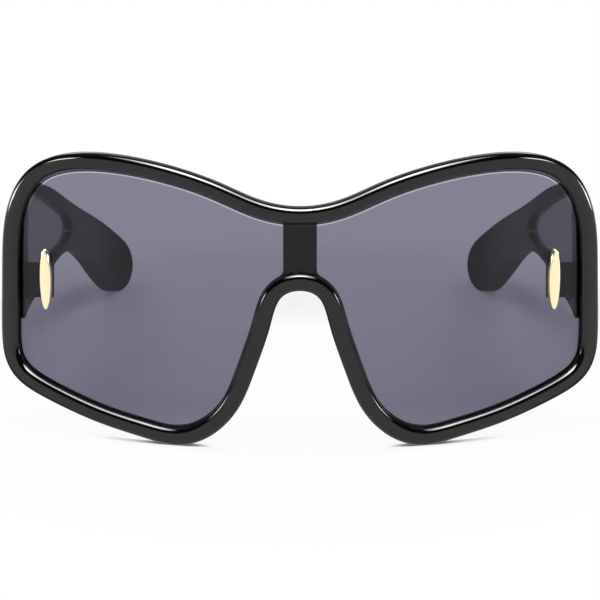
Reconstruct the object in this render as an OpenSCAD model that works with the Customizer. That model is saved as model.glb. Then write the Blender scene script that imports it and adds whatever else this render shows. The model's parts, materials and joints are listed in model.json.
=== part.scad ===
// Oversized one-piece shield sunglasses, standing on the two lobes of the front and the temple tips.
// Millimetres. +Z is up, the front looks along -Y, and the origin is on the floor under the middle.

/* [Front] */
// Width of the front at the depth of the lens face
front_w = 149.6; // [138:0.2:160]
// Overall height of the front, from the lobes to the top corners
front_h = 71.3; // [64:0.1:80]
// Radius of the wrap of the lens face, seen from above
wrap_r = 135; // [120:1:200]
// Angle between the front and a line square to the temples
panto_angle = 10; // [4:1:14]
// Usual width of the glossy rim, seen from the front
rim_w = 4; // [3.7:0.1:4.8]
// How far the glossy rim stands proud of the lens face
rim_proud = 2; // [1.6:0.1:2.6]
// Radius of the two rounded shoulders of the rim
shoulder_r = 1.25; // [0.8:0.05:1.4]
// Width of the rim's wall outside the edge of the lens
rim_wall = 2.5; // [2.2:0.1:2.8]
// Width of the bridge bar behind the lens
bridge_w = 8.1; // [6:0.1:11]

/* [Shells] */
// Thickness of the shield lens
lens_t = 2; // [1.6:0.1:2.4]
// Thickness of the rear frame
rear_t = 2.6; // [2.2:0.1:3.2]
// How far the rear frame's apertures stand back behind the rim, out of sight from the front
aperture_back = 0.2; // [0.1:0.05:0.4]
// How far the rear frame's edge stands in from the rim's outer wall
rear_step = 0.15; // [0.05:0.05:0.4]

/* [Nose pads] */
// Height of each moulded nose pad
pad_h = 17; // [12:0.5:20]
// How far the nose pads reach behind the rear frame
pad_reach = 6.5; // [4:0.5:8]
// Thickness of the nose pads
pad_t = 2.4; // [1.8:0.1:3]
// Height of the middle of the pads, as a share of the height of the front
pad_share = 0.285; // [0.25:0.005:0.31]

/* [End pieces] */
// Height of each end piece behind the lens
lug_h = 8.8; // [7.6:0.1:10]
// Height of the middle of the end piece above the origin of the front
lug_z = 5.2; // [4:0.1:6.5]
// How far the end piece reaches in from the inner face of the temple
lug_reach = 7.5; // [7.2:0.1:8.4]

/* [Temples] */
// Length of each temple from its hinge axis to its tip
temple_len = 114.5; // [105:0.5:118]
// Height of the temple's front end
temple_h = 36; // [33:0.5:38]
// Thickness of the temple
temple_t = 4; // [3.6:0.1:4.8]
// How far the temple curves in from its front end to its tip
toe_in = 17; // [12:0.5:19]
// How far the inner face of the temple's front end lies in from the side of the front
temple_inset = 5.5; // [5.2:0.1:6.5]
// Gap between the temple's front end and the rear frame
butt_gap = 0.3; // [0.25:0.05:0.5]

/* [Side lenses] */
// Thickness of the side lens
side_lens_t = 1.6; // [1.2:0.1:2]
// Depth of the groove that holds the side lens
groove = 0.8; // [0.5:0.05:1]
// Wall of the temple outside the side lens
side_lip = 1.2; // [0.8:0.05:1.4]

/* [Gold ovals] */
// Height of each gold oval
oval_h = 15.4; // [12:0.2:18]
// Width of each gold oval
oval_w = 3.3; // [2.8:0.1:4.2]
// Thickness of each gold oval
oval_t = 1; // [0.8:0.1:1.6]
// Width of the oval's bevel
oval_bevel = 0.4; // [0.25:0.05:0.6]
// Distance of the oval's middle from the side of the front
oval_inset = 11.75; // [11.4:0.05:12]
// Diameter of the oval's stud
stud_d = 1.2; // [1:0.05:1.3]
// Depth of the stud behind the lens face
stud_len = 5.6; // [4.5:0.1:6]

/* [Hinges] */
// Diameter of the hinge barrels
barrel_d = 3; // [2.6:0.1:3.2]
// Height of the hinge
hinge_h = 8; // [7:0.1:8.4]
// Thickness of the hinge leaves
leaf_t = 1; // [0.8:0.05:1.1]
// Diameter of the hinge screw
pin_d = 1.4; // [1.2:0.05:1.6]
// Length of the temple's hinge leaf behind the axis
temple_leaf = 4.3; // [4:0.1:4.6]
// Length of the front's hinge leaf in from the axis
front_leaf = 4.6; // [4.2:0.1:5]
// Diameter of the small screws that hold the hinge leaves
leaf_screw_d = 1.1; // [0.9:0.05:1.2]

/* [Shell screws] */
// Diameter of the screws that clamp the rear frame to the rim
shell_screw_d = 1; // [0.8:0.05:1.1]
// Diameter of the heads of those screws
shell_head_d = 1.9; // [1.6:0.05:2]

/* [Hidden] */

// Steps of each curve span, and the sides of exact round parts
span_steps = 4;
$fn = 48;

// Clearances and one overrun for every cut
fit_gap = 0.05;
pin_gap = 0.04;
knuckle_gap = 0.1;
barrel_gap = 0.15;
overrun = 200;

// Outline of the front from the middle of the top to the top of the nose arch.
// Each pair is a share of the half width and a share of the height above the lobes.
outline_shares = [
    [0, 0.822], [0.13, 0.844], [0.263, 0.915], [0.428, 0.968], [0.587, 0.998], [0.717, 1.003],
    [0.845, 0.979], [0.939, 0.894], [0.989, 0.75], [0.994, 0.574], [1, 0.391], [1.002, 0.263],
    [0.953, 0.172], [0.833, 0.12], [0.667, 0.057], [0.518, 0.022], [0.399, -0.013], [0.284, 0.03],
    [0.191, 0.133], [0.143, 0.278], [0.094, 0.417], [0.075, 0.531], [0, 0.556]
];

// Width of the rim at the same points, as shares of its usual width
rim_shares = [
    0.95, 0.95, 0.94, 0.95, 0.98, 1, 1.01, 1, 1.03, 1.08, 1.09, 1.08,
    1.07, 1.03, 1, 1, 1.08, 1.1, 1.09, 1.1, 1.1, 1.06, 1.05
];

// Side view of the temple, from the lower front round the top and the tip.
// Each pair is a share of the temple's length behind the hinge and of its height above its lowest corner.
temple_shares = [
    [-0.17, -0.21], [-0.17, 0.3], [-0.09, 0.52], [-0.02, 0.72], [0.04, 0.885], [0.1, 0.995],
    [0.2, 0.985], [0.415, 0.884], [0.636, 0.845], [0.811, 0.795], [0.933, 0.703], [0.998, 0.594],
    [1.012, 0.4], [0.985, 0.25], [0.93, 0.185], [0.86, 0.25], [0.76, 0.36], [0.66, 0.45],
    [0.56, 0.51], [0.46, 0.53], [0.36, 0.51], [0.26, 0.425], [0.17, 0.275], [0.075, 0.085],
    [-0.03, -0.05]
];

// Side view of the window in the temple, in the same shares
window_shares = [
    [0.039, 0.5], [0.041, 0.84], [0.07, 0.905], [0.155, 0.89], [0.24, 0.853], [0.32, 0.806],
    [0.4, 0.775], [0.432, 0.69], [0.4, 0.605], [0.33, 0.545], [0.25, 0.465], [0.17, 0.36],
    [0.083, 0.225], [0.039, 0.14], [0.039, 0.14]
];

// Plan of the temple's inner face: shares of its length and of the distance it curves in
plan_shares = [
    [-0.1, 0], [-0.03, 0], [0.03, 0], [0.06, 0], [0.13, 0.09], [0.24, 0.229], [0.372, 0.335],
    [0.547, 0.418], [0.704, 0.5], [0.827, 0.606], [0.923, 0.759], [0.993, 0.97], [1.054, 1.2],
    [1.12, 1.45]
];

// Height of the hinge's middle above the temple's lowest front corner, as a share of its height
low_share = 0.275;

// Places of the shell screws along the outline, as shares of the way from top middle to nose arch
screw_shares = [0.07, 0.22, 0.64, 0.77];

half_w = front_w / 2;
shell_d = lens_t + rear_t;
barrel_r = barrel_d / 2;
seat = barrel_r + barrel_gap;
temple_u = half_w - temple_inset;
hinge_u = temple_u - seat;
oval_x = half_w - oval_inset;

// Cubic curve through a ring of control points
function blend(a, b, c, d, t) =
    let (s = 1 - t)
    (pow(s, 3) * a + (3 * pow(t, 3) - 6 * t * t + 4) * b
    + (3 * pow(s, 3) - 6 * s * s + 4) * c + pow(t, 3) * d) / 6;

function ring_curve(p) =
    let (n = len(p))
    [for (i = [0:n - 1], k = [0:span_steps - 1])
        blend(p[(i + n - 1) % n], p[i], p[(i + 1) % n], p[(i + 2) % n], k / span_steps)];

function path_curve(p) =
    [for (i = [1:len(p) - 3], k = [0:span_steps - 1])
        blend(p[i - 1], p[i], p[i + 1], p[i + 2], k / span_steps)];

function column(points, k) = [for (p = points) p[k]];

// A point of a closed clockwise loop, moved square to the loop towards its inside
function inward(loop, i) =
    let (n = len(loop), t = loop[(i + 1) % n] - loop[(i + n - 1) % n])
    [t.y, -t.x] / norm(t);

function inset(loop, a) = [for (i = [0:len(loop) - 1]) loop[i] + a * inward(loop, i)];

// Outline of the front, stretched so that it is exactly as wide and as high as named
half_last = len(outline_shares) - 1;
raw_outline = ring_curve(concat(
    outline_shares,
    [for (i = [half_last - 1:-1:1]) [-outline_shares[i].x, outline_shares[i].y]]));
raw_low = min(column(raw_outline, 1));
raw_high = max(column(raw_outline, 1));
raw_wide = max(column(raw_outline, 0));
arch_share = 0.515;

outline = [for (p = raw_outline)
    [p.x / raw_wide * half_w, ((p.y - raw_low) / (raw_high - raw_low) - arch_share) * front_h]];
lens_edge = inset(outline, rim_wall + fit_gap);
rear_edge = inset(outline, rear_step);
pad_edge = inset(outline, pad_t);

rim_widths = rim_w * ring_curve(concat(rim_shares, [for (i = [half_last - 1:-1:1]) rim_shares[i]]));
aperture_edge = [for (i = [0:len(outline) - 1])
    outline[i] + (rim_widths[i] - aperture_back) * inward(outline, i)];

// How far back a point of the wrapped front lies, at a depth behind the lens face
function bend(x, depth) = wrap_r - sqrt(pow(wrap_r - depth, 2) - x * x);

// Section of the glossy rim: distance in from its outer edge, and depth behind the lens face
function arc(centre, r, from, to, steps) =
    [for (k = [0:steps]) let (a = from + (to - from) * k / steps) centre + r * [cos(a), sin(a)]];

function rim_section(w) = concat(
    [[0, lens_t]],
    arc([shoulder_r, shoulder_r - rim_proud], shoulder_r, 180, 270, 3),
    arc([w - shoulder_r, shoulder_r - rim_proud], shoulder_r, 270, 360, 3),
    [[w, -fit_gap], [rim_wall, -fit_gap], [rim_wall, lens_t]]);

// What stands proud of the lens spreads with the wrap, square to the lens face
function spread(x, depth) = depth < 0 ? x * (wrap_r - depth) / wrap_r : x;

rim_points = [for (i = [0:len(outline) - 1], s = rim_section(rim_widths[i]))
    let (p = outline[i] + s.x * inward(outline, i), x = spread(p.x, s.y))
    [x, bend(x, s.y), p.y]];

// The floor: the angle at which the lobes of the front and the temple tips both touch it
function to_temple(y, z) =
    [y * cos(panto_angle) - z * sin(panto_angle), y * sin(panto_angle) + z * cos(panto_angle)];

front_feet = [for (p = rear_edge) to_temple(bend(p.x, shell_d), p.y)];
hinge_w = to_temple(bend(temple_u, shell_d), lug_z).x + seat + butt_gap;
temple_low = lug_z - temple_h * low_share;

function side_place(shares) =
    [for (s = shares) [hinge_w + s.x * temple_len, temple_low + s.y * temple_h]];

temple_edge = ring_curve(side_place(temple_shares));
window_edge = ring_curve(side_place(window_shares));
lens_rim_edge = inset(window_edge, -groove);
temple_feet = [for (p = temple_edge) if (p.x > hinge_w + temple_len / 2) p];

function drop(p, tilt) = p.y * cos(tilt) - p.x * sin(tilt);
function lowest(points, tilt) = min([for (p = points) drop(p, tilt)]);
function foot(points, tilt) = [for (p = points) if (drop(p, tilt) <= lowest(points, tilt)) p][0];
function tilt_from(p) = min([for (q = temple_feet) atan2(q.y - p.y, q.x - p.x)]);

first_tilt = tilt_from(foot(front_feet, panto_angle));
stand_tilt = tilt_from(foot(front_feet, first_tilt));
lean = stand_tilt - panto_angle;
floor_z = lowest(front_feet, stand_tilt);

// The origin: half way between the foremost point of the rim and the end of the temples
fore_y = min([for (p = rim_points) p.y * cos(lean) + p.z * sin(lean)]);
aft_y = max([for (p = temple_edge) p.x * cos(stand_tilt) + p.y * sin(stand_tilt)]);
origin_y = (fore_y + aft_y) / 2;

// Places: the front's own frame, and the frame of the temples when they are open
module in_front() {
    translate([0, -origin_y, -floor_z]) rotate([-lean, 0, 0]) children();
}

module in_temples() {
    translate([0, -origin_y, -floor_z]) rotate([-stand_tilt, 0, 0]) children();
}

module on_side(side) {
    mirror([side < 0 ? 1 : 0, 0, 0]) children();
}

// Extrusions along the depth of the front and across the temples
module through_front() {
    translate([0, overrun / 2, 0]) rotate([90, 0, 0]) linear_extrude(overrun) children();
}

module through_temple() {
    rotate([90, 0, 90]) linear_extrude(overrun) children();
}

// Everything behind a depth of the wrapped front, seen from the lens face
module behind(depth) {
    translate([0, wrap_r, -overrun / 2]) cylinder(h = overrun, r = wrap_r - depth, $fn = 360);
}

module shell(front_depth, back_depth) {
    difference() {
        behind(front_depth);
        behind(back_depth);
    }
}

// Screws that clamp the rear frame to the rim, in the middle of the rim's wall
screw_line = inset(outline, rim_wall / 2);
half_count = half_last * span_steps;
screw_places = [for (s = screw_shares, side = [-1, 1])
    let (p = screw_line[round(s * half_count)])
    [side * p.x, bend(p.x, shell_d), p.y]];
shell_head_t = 0.6;
shell_head_seat = 1;
shell_skin = 1;
shell_screw_len = shell_d + rim_proud - shell_head_seat - shell_skin;
slot_w = 0.3;
slot_depth = 0.25;

// A screw that points forward from the rear face; a longer head makes its counterbore
module shell_screw(gap, head_len) {
    rotate([90, 0, 0]) translate([0, 0, shell_head_seat]) {
        cylinder(h = shell_screw_len + gap, d = shell_screw_d + 2 * gap);
        translate([0, 0, -head_len]) cylinder(h = head_len, d = shell_head_d + 2 * gap);
    }
}

module shell_screws() {
    color("dimgray") in_front() for (p = screw_places) translate(p) difference() {
        shell_screw(0, shell_head_t);
        translate([0, shell_head_t - shell_head_seat, 0])
            cube([overrun, 2 * slot_depth, slot_w], center = true);
    }
}

// Glossy rim, swept round the outline with one section
module swept_rim() {
    n = len(outline);
    m = len(rim_section(rim_w));
    faces = [for (i = [0:n - 1], j = [0:m - 1])
        let (a = i * m + j, b = i * m + (j + 1) % m, c = (i + 1) % n * m + j, d = (i + 1) % n * m + (j + 1) % m)
        each [[a, b, d], [a, d, c]]];
    polyhedron(points = rim_points, faces = faces, convexity = 8);
}

module front_rim() {
    color([0.13, 0.13, 0.13]) in_front() difference() {
        swept_rim();
        for (p = screw_places) translate(p) shell_screw(fit_gap, shell_head_t);
    }
}

// Gold ovals: each lies flat on the lens and has a stud that runs straight back
oval_z = lug_z / cos(panto_angle) - bend(oval_x, 0) * tan(panto_angle);
oval_turn = asin(oval_x / wrap_r);
oval_sides = 40;
oval_rise = oval_t - oval_bevel;

function oval_ring(grow, y) =
    [for (k = [0:oval_sides - 1])
        let (t = -360 * k / oval_sides)
        [(oval_w / 2 + grow) * cos(t), y, (oval_h / 2 + grow) * sin(t)]];

module oval_plate() {
    n = oval_sides;
    points = concat(oval_ring(0, 0), oval_ring(0, -oval_rise), oval_ring(-oval_bevel, -oval_t));
    walls = [for (r = [0, 1], k = [0:n - 1])
        let (a = r * n + k, b = r * n + (k + 1) % n)
        each [[a, b, b + n], [a, b + n, a + n]]];
    caps = [[for (k = [n - 1:-1:0]) k], [for (k = [0:n - 1]) 2 * n + k]];
    polyhedron(points = points, faces = concat(walls, caps), convexity = 4);
}

module gold_oval(side) {
    color("gold") in_front() on_side(side)
        translate([oval_x, bend(oval_x, 0), oval_z]) rotate([0, 0, oval_turn])
            translate([0, -fit_gap, 0]) oval_plate();
}

// The hole for a stud is the stud itself, a little wider
module stud_rod(gap) {
    intersection() {
        translate([oval_x, bend(oval_x, stud_len) + gap, oval_z]) rotate([90, 0, 0])
            cylinder(h = stud_len + half_w, d = stud_d + 2 * gap);
        behind(-gap);
    }
}

module oval_stud(side) {
    color("goldenrod") in_front() on_side(side) stud_rod(0);
}

module shield_lens() {
    color([0.35, 0.34, 0.42, 0.6]) in_front() difference() {
        intersection() {
            shell(0, lens_t);
            through_front() polygon(lens_edge);
        }
        for (side = [-1, 1]) on_side(side) stud_rod(fit_gap);
    }
}

// End piece: a block behind the lens that carries the hinge and takes the gold oval's stud
lug_back = hinge_w - seat;
lug_in = temple_u - lug_reach;
lug_clear = 0.3;
lug_root = lug_reach + temple_inset - rim_wall;

module lug_block(reach) {
    rotate([-panto_angle, 0, 0]) translate([lug_in, 0, lug_z - lug_h / 2]) cube([reach, lug_back, lug_h]);
}

module end_piece() {
    lug_block(lug_reach - lug_clear);
    difference() {
        lug_block(lug_root);
        behind(shell_d);
    }
}

// Nose pads: fins along both sides of the nose arch, rounded when seen from the side
pad_z = (pad_share - arch_share) * front_h;
pad_r = (pad_h * pad_h / 4 + pad_reach * pad_reach) / (2 * pad_reach);
pad_limit_share = 0.125;
pad_limit = pad_limit_share * front_w;

module nose_pads() {
    intersection() {
        translate([-pad_limit, bend(pad_limit / 2, shell_d) + pad_reach - pad_r, pad_z]) rotate([0, 90, 0])
            cylinder(h = 2 * pad_limit, r = pad_r);
        through_front() difference() {
            polygon(rear_edge);
            polygon(pad_edge);
        }
    }
}

// The ring of the rear frame, with its two apertures and the bridge bar between them
module rear_ring() {
    difference() {
        through_front() difference() {
            polygon(rear_edge);
            difference() {
                polygon(aperture_edge);
                translate([-bridge_w / 2, -overrun / 2]) square([bridge_w, overrun]);
            }
        }
        behind(shell_d);
    }
}

// Rear frame: ring, bridge bar, end pieces and nose pads in one moulding
module rear_frame() {
    color([0.1, 0.1, 0.1]) in_front() difference() {
        intersection() {
            behind(lens_t + fit_gap);
            union() {
                rear_ring();
                for (side = [-1, 1]) on_side(side) end_piece();
                nose_pads();
            }
        }
        for (side = [-1, 1]) on_side(side) {
            stud_rod(fit_gap);
            rotate([-panto_angle, 0, 0]) front_leaf_screws(fit_gap);
        }
        for (p = screw_places) translate(p) shell_screw(fit_gap, overrun / 2);
    }
}

// Hinges: five knuckles round one screw, three on the front's leaf and two on the temple's
knuckle_pitch = hinge_h / 5;
hinge_foot = lug_z - hinge_h / 2;
leaf_screw_len = 3;
leaf_head_t = 0.4;
leaf_head_share = 1.8;
leaf_head_d = leaf_head_share * leaf_screw_d;
front_screw_u = hinge_u - (seat + front_leaf) / 2;
temple_screw_w = hinge_w + (seat + temple_leaf) / 2;
leaf_spread_share = 0.32;
leaf_screw_spread = leaf_spread_share * hinge_h;
pin_head_d = 2.2;
pin_head_t = 0.6;

module knuckle(k) {
    translate([hinge_u, hinge_w, hinge_foot + k * knuckle_pitch + knuckle_gap / 2])
        cylinder(h = knuckle_pitch - knuckle_gap, d = barrel_d);
}

module knuckle_arm(k, u0, u1, w0, w1) {
    translate([hinge_u + u0, hinge_w + w0, hinge_foot + k * knuckle_pitch + knuckle_gap / 2])
        cube([u1 - u0, w1 - w0, knuckle_pitch - knuckle_gap]);
}

module pin_bore() {
    translate([hinge_u, hinge_w, hinge_foot - overrun / 2]) cylinder(h = overrun, d = pin_d + 2 * pin_gap);
}

// Small screw with a flat head, pointing along +Z from under its head
module leaf_screw(gap) {
    cylinder(h = leaf_screw_len + gap, d = leaf_screw_d + 2 * gap);
    if (gap == 0) translate([0, 0, -leaf_head_t]) difference() {
        cylinder(h = leaf_head_t, d = leaf_head_d);
        cube([2 * leaf_head_d, slot_w, leaf_head_t], center = true);
    }
}

module front_leaf_screws(gap) {
    for (rise = [-1, 1])
        translate([front_screw_u, lug_back + leaf_t, lug_z + rise * leaf_screw_spread])
            rotate([90, 0, 0]) leaf_screw(gap);
}

module temple_leaf_screws(gap) {
    for (rise = [-1, 1])
        translate([temple_u - leaf_t, temple_screw_w, lug_z + rise * leaf_screw_spread])
            rotate([0, 90, 0]) leaf_screw(gap);
}

module front_hinge(side) {
    color("silver") in_temples() on_side(side) difference() {
        union() {
            translate([hinge_u - front_leaf, lug_back, hinge_foot]) cube([front_leaf - seat, leaf_t, hinge_h]);
            for (k = [0, 2, 4]) {
                knuckle(k);
                knuckle_arm(k, -seat, 0, -seat, leaf_t - seat);
            }
        }
        pin_bore();
        front_leaf_screws(fit_gap);
    }
}

module front_hinge_screws() {
    color("dimgray") in_temples() for (side = [-1, 1]) on_side(side) front_leaf_screws(0);
}

module temple_hinge(side) {
    color("silver") in_temples() on_side(side) difference() {
        union() {
            translate([temple_u - leaf_t, hinge_w + seat, hinge_foot])
                cube([leaf_t, temple_leaf - seat, hinge_h]);
            for (k = [1, 3]) {
                knuckle(k);
                knuckle_arm(k, seat - leaf_t, barrel_r, 0, seat);
            }
        }
        pin_bore();
        temple_leaf_screws(fit_gap);
    }
}

module temple_hinge_screws(side) {
    color("dimgray") in_temples() on_side(side) temple_leaf_screws(0);
}

module hinge_screw(side) {
    color("dimgray") in_temples() on_side(side)
        translate([hinge_u, hinge_w, hinge_foot + knuckle_gap / 2]) difference() {
            union() {
                cylinder(h = hinge_h - knuckle_gap, d = pin_d);
                translate([0, 0, hinge_h - knuckle_gap]) cylinder(h = pin_head_t, d = pin_head_d);
            }
            translate([0, 0, hinge_h - knuckle_gap + pin_head_t])
                cube([2 * pin_head_d, slot_w, 2 * slot_depth], center = true);
        }
}

// Temples: the side view, cut from a band that curves in towards the tip
plan_path = path_curve([for (s = plan_shares) [temple_u - s.y * toe_in, hinge_w + s.x * temple_len]]);

function outward(path, i) =
    let (t = path[min(i + 1, len(path) - 1)] - path[max(i - 1, 0)])
    [t.y, -t.x] / norm(t);

function beside(path, a) = [for (i = [0:len(path) - 1]) path[i] + a * outward(path, i)];

module band(from, to) {
    outer = beside(plan_path, to);
    translate([0, 0, -overrun / 2]) linear_extrude(overrun)
        polygon(concat(beside(plan_path, from), [for (i = [len(outer) - 1:-1:0]) outer[i]]));
}

// Flat seat for the hinge leaf on the inner face of the temple
module leaf_seat() {
    translate([temple_u - temple_t, 0, hinge_foot - fit_gap])
        cube([temple_t, hinge_w + temple_leaf + fit_gap, hinge_h + 2 * fit_gap]);
}

module temple(side) {
    lens_in = temple_t - side_lip - side_lens_t;
    color([0.13, 0.13, 0.13]) in_temples() on_side(side) difference() {
        intersection() {
            through_temple() difference() {
                polygon(temple_edge);
                polygon(window_edge);
            }
            band(0, temple_t);
            rotate([panto_angle, 0, 0]) behind(shell_d + butt_gap);
        }
        intersection() {
            through_temple() polygon(inset(window_edge, -groove - fit_gap));
            band(lens_in - fit_gap, lens_in + side_lens_t + fit_gap);
        }
        leaf_seat();
        temple_leaf_screws(fit_gap);
    }
}

module side_lens(side) {
    lens_in = temple_t - side_lip - side_lens_t;
    color([0.35, 0.34, 0.42, 0.6]) in_temples() on_side(side) intersection() {
        through_temple() polygon(lens_rim_edge);
        band(lens_in, lens_in + side_lens_t);
    }
}

front_rim();
shield_lens();
rear_frame();
shell_screws();
gold_oval(-1);  // gold_oval_left
gold_oval(1);  // gold_oval_right
oval_stud(-1);  // oval_stud_left
oval_stud(1);  // oval_stud_right
front_hinge(-1);  // front_hinge_left
front_hinge(1);  // front_hinge_right
front_hinge_screws();
hinge_screw(-1);  // hinge_screw_left
hinge_screw(1);  // hinge_screw_right
temple(-1);  // temple_left
temple(1);  // temple_right
side_lens(-1);  // side_lens_left
side_lens(1);  // side_lens_right
temple_hinge(-1);  // temple_hinge_left
temple_hinge(1);  // temple_hinge_right
temple_hinge_screws(-1);  // temple_hinge_screws_left
temple_hinge_screws(1);  // temple_hinge_screws_right
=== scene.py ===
"""Looks of a pair of oversized one-piece shield sunglasses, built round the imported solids.

Sizes are in millimetres and become metres where a mesh is made. Two frames share one origin: the
front's own (x to the right, y back from the lens, z up) and the temples' (u right, w back, v up).
"""
import json
import logging
import math
from contextlib import contextmanager
from dataclasses import dataclass
from enum import Enum
from functools import partial
from typing import Callable, Iterable, Iterator, Sequence

import bmesh
import bpy
import numpy as np
from mathutils import Matrix, Vector


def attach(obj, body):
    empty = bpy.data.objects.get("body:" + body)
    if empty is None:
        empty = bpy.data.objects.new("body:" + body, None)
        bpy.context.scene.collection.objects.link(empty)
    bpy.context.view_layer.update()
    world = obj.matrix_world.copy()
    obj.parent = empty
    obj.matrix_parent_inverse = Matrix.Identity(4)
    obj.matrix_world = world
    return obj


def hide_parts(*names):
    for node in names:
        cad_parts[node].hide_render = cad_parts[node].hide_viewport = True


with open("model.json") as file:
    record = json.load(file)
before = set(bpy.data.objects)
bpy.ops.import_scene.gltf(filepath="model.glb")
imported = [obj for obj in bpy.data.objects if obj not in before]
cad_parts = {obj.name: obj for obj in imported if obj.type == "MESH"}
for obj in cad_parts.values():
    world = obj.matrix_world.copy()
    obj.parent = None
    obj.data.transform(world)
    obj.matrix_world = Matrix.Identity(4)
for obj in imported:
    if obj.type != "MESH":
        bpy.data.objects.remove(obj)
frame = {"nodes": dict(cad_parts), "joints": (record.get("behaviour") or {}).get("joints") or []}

Colour = tuple[float, float, float]
Pair = tuple[float, float]
Face = tuple[int, ...]
Mesh = bpy.types.Mesh
Node = bpy.types.Node
Object = bpy.types.Object
Socket = bpy.types.NodeSocket

LOG = logging.getLogger("sunglasses")
MM = 0.001
SHARP_TURN = 0.6  # radians by which an outline's corner turns before it gets rounded
MERGE = 1e-7  # metres within which points are one
CLOSE = 1e-4  # the same in millimetres, for a mesh that isn't in metres yet
FRONT_SLICE = 2.0  # millimetres between the cuts that let the front bend
TEMPLE_SLICE = 1.5  # the same on a temple

# Outline of the front, from the middle of the top round to the top of the nose arch:
# shares of the half width and of the height above the lobes.
OUTLINE_SHARES = [
    (0, 0.822), (0.13, 0.844), (0.263, 0.915), (0.428, 0.968), (0.587, 0.998), (0.717, 1.003),
    (0.845, 0.979), (0.939, 0.894), (0.989, 0.75), (0.994, 0.574), (1, 0.391), (1.002, 0.263),
    (0.953, 0.172), (0.833, 0.12), (0.667, 0.057), (0.518, 0.022), (0.399, -0.013), (0.284, 0.03),
    (0.191, 0.133), (0.143, 0.278), (0.094, 0.417), (0.075, 0.531), (0, 0.556),
]

# Width of the rim at the same points: shares of its usual width.
RIM_SHARES = [
    0.95, 0.95, 0.94, 0.95, 0.98, 1, 1.01, 1, 1.03, 1.08, 1.09, 1.08,
    1.07, 1.03, 1, 1, 1.08, 1.1, 1.09, 1.1, 1.1, 1.06, 1.05,
]

# Side view of a temple: shares of its length behind the hinge and of its height above its low corner.
TEMPLE_SHARES = [
    (-0.17, -0.21), (-0.17, 0.3), (-0.09, 0.52), (-0.02, 0.72), (0.04, 0.885), (0.1, 0.995),
    (0.2, 0.985), (0.415, 0.884), (0.636, 0.845), (0.811, 0.795), (0.933, 0.703), (0.998, 0.594),
    (1.012, 0.4), (0.985, 0.25), (0.93, 0.185), (0.86, 0.25), (0.76, 0.36), (0.66, 0.45),
    (0.56, 0.51), (0.46, 0.53), (0.36, 0.51), (0.26, 0.425), (0.17, 0.275), (0.075, 0.085),
    (-0.03, -0.05),
]

# The window in the temple, in the same shares.
WINDOW_SHARES = [
    (0.039, 0.5), (0.041, 0.84), (0.07, 0.905), (0.155, 0.89), (0.24, 0.853), (0.32, 0.806),
    (0.4, 0.775), (0.432, 0.69), (0.4, 0.605), (0.33, 0.545), (0.25, 0.465), (0.17, 0.36),
    (0.083, 0.225), (0.039, 0.14), (0.039, 0.14),
]

# Plan of a temple's inner face: shares of its length and of the distance it curves in.
PLAN_SHARES = [
    (-0.1, 0), (-0.03, 0), (0.03, 0), (0.06, 0), (0.13, 0.09), (0.24, 0.229), (0.372, 0.335),
    (0.547, 0.418), (0.704, 0.5), (0.827, 0.606), (0.923, 0.759), (0.993, 0.97), (1.054, 1.2),
    (1.12, 1.45),
]

# Places of the rear screws along the outline: shares of the way from top middle to nose arch.
SCREW_SHARES = (0.07, 0.22, 0.64, 0.77)


class Side(Enum):
    """The two sides of the glasses; the value is the sign of x."""

    LEFT = -1
    RIGHT = 1

    @property
    def word(self) -> str:
        """The word that node and body names end in."""
        return self.name.lower()


@dataclass(frozen=True)
class Sizes:
    """The sizes of the real piece, in millimetres and degrees."""

    front_w: float = 149.6
    front_h: float = 71.3
    wrap_r: float = 135
    panto: float = 10
    rim_w: float = 4
    rim_proud: float = 2
    shoulder_r: float = 1.25
    rim_wall: float = 2.5
    bridge_w: float = 8.1
    lens_t: float = 2
    rear_t: float = 2.6
    aperture_back: float = 0.2
    rear_step: float = 0.15
    pad_h: float = 17
    pad_reach: float = 6.5
    pad_t: float = 2.4
    pad_share: float = 0.285
    arch_share: float = 0.515
    lug_h: float = 8.8
    lug_z: float = 5.2
    lug_reach: float = 7.5
    lug_clear: float = 0.3
    temple_len: float = 114.5
    temple_h: float = 36
    temple_t: float = 4
    toe_in: float = 17
    temple_inset: float = 5.5
    low_share: float = 0.275
    butt_gap: float = 0.3
    side_lens_t: float = 1.6
    side_lip: float = 1.2
    groove: float = 0.8
    oval_h: float = 15.4
    oval_w: float = 3.3
    oval_t: float = 1
    oval_bevel: float = 0.4
    oval_inset: float = 11.75
    barrel_r: float = 1.5
    barrel_gap: float = 0.15
    fit_gap: float = 0.05
    head_d: float = 1.9
    head_t: float = 0.6
    head_seat: float = 1

    @property
    def shell_d(self) -> float:
        """Depth of the rear frame's back behind the lens face."""
        return self.lens_t + self.rear_t

    @property
    def temple_u(self) -> float:
        """Where the inner face of a temple's front end lies."""
        return self.front_w / 2 - self.temple_inset

    @property
    def seat(self) -> float:
        """Distance of a hinge axis from the faces that its leaves lie on."""
        return self.barrel_r + self.barrel_gap

    def bend(self, x: np.ndarray, depth: np.ndarray) -> np.ndarray:
        """How far back the wrapped front lies at x and at a depth behind the lens face."""
        return self.wrap_r - np.sqrt((self.wrap_r - depth) ** 2 - x * x)

    def along(self, u: np.ndarray, v: np.ndarray, depth: float) -> np.ndarray:
        """How far back the same lies in the temples' frame, at u across and v up."""
        a = math.radians(self.panto)
        return (self.bend(u, depth) - v * math.sin(a)) / math.cos(a)

    @property
    def hinge_w(self) -> float:
        """Where the hinge axes lie behind the origin, in the temples' frame."""
        a = math.radians(self.panto)
        y = float(self.bend(self.temple_u, self.shell_d))
        return y * math.cos(a) - self.lug_z * math.sin(a) + self.seat + self.butt_gap

    @property
    def temple_low(self) -> float:
        """Height of a temple's lowest front corner in the temples' frame."""
        return self.lug_z - self.temple_h * self.low_share


SIZES = Sizes()


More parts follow.
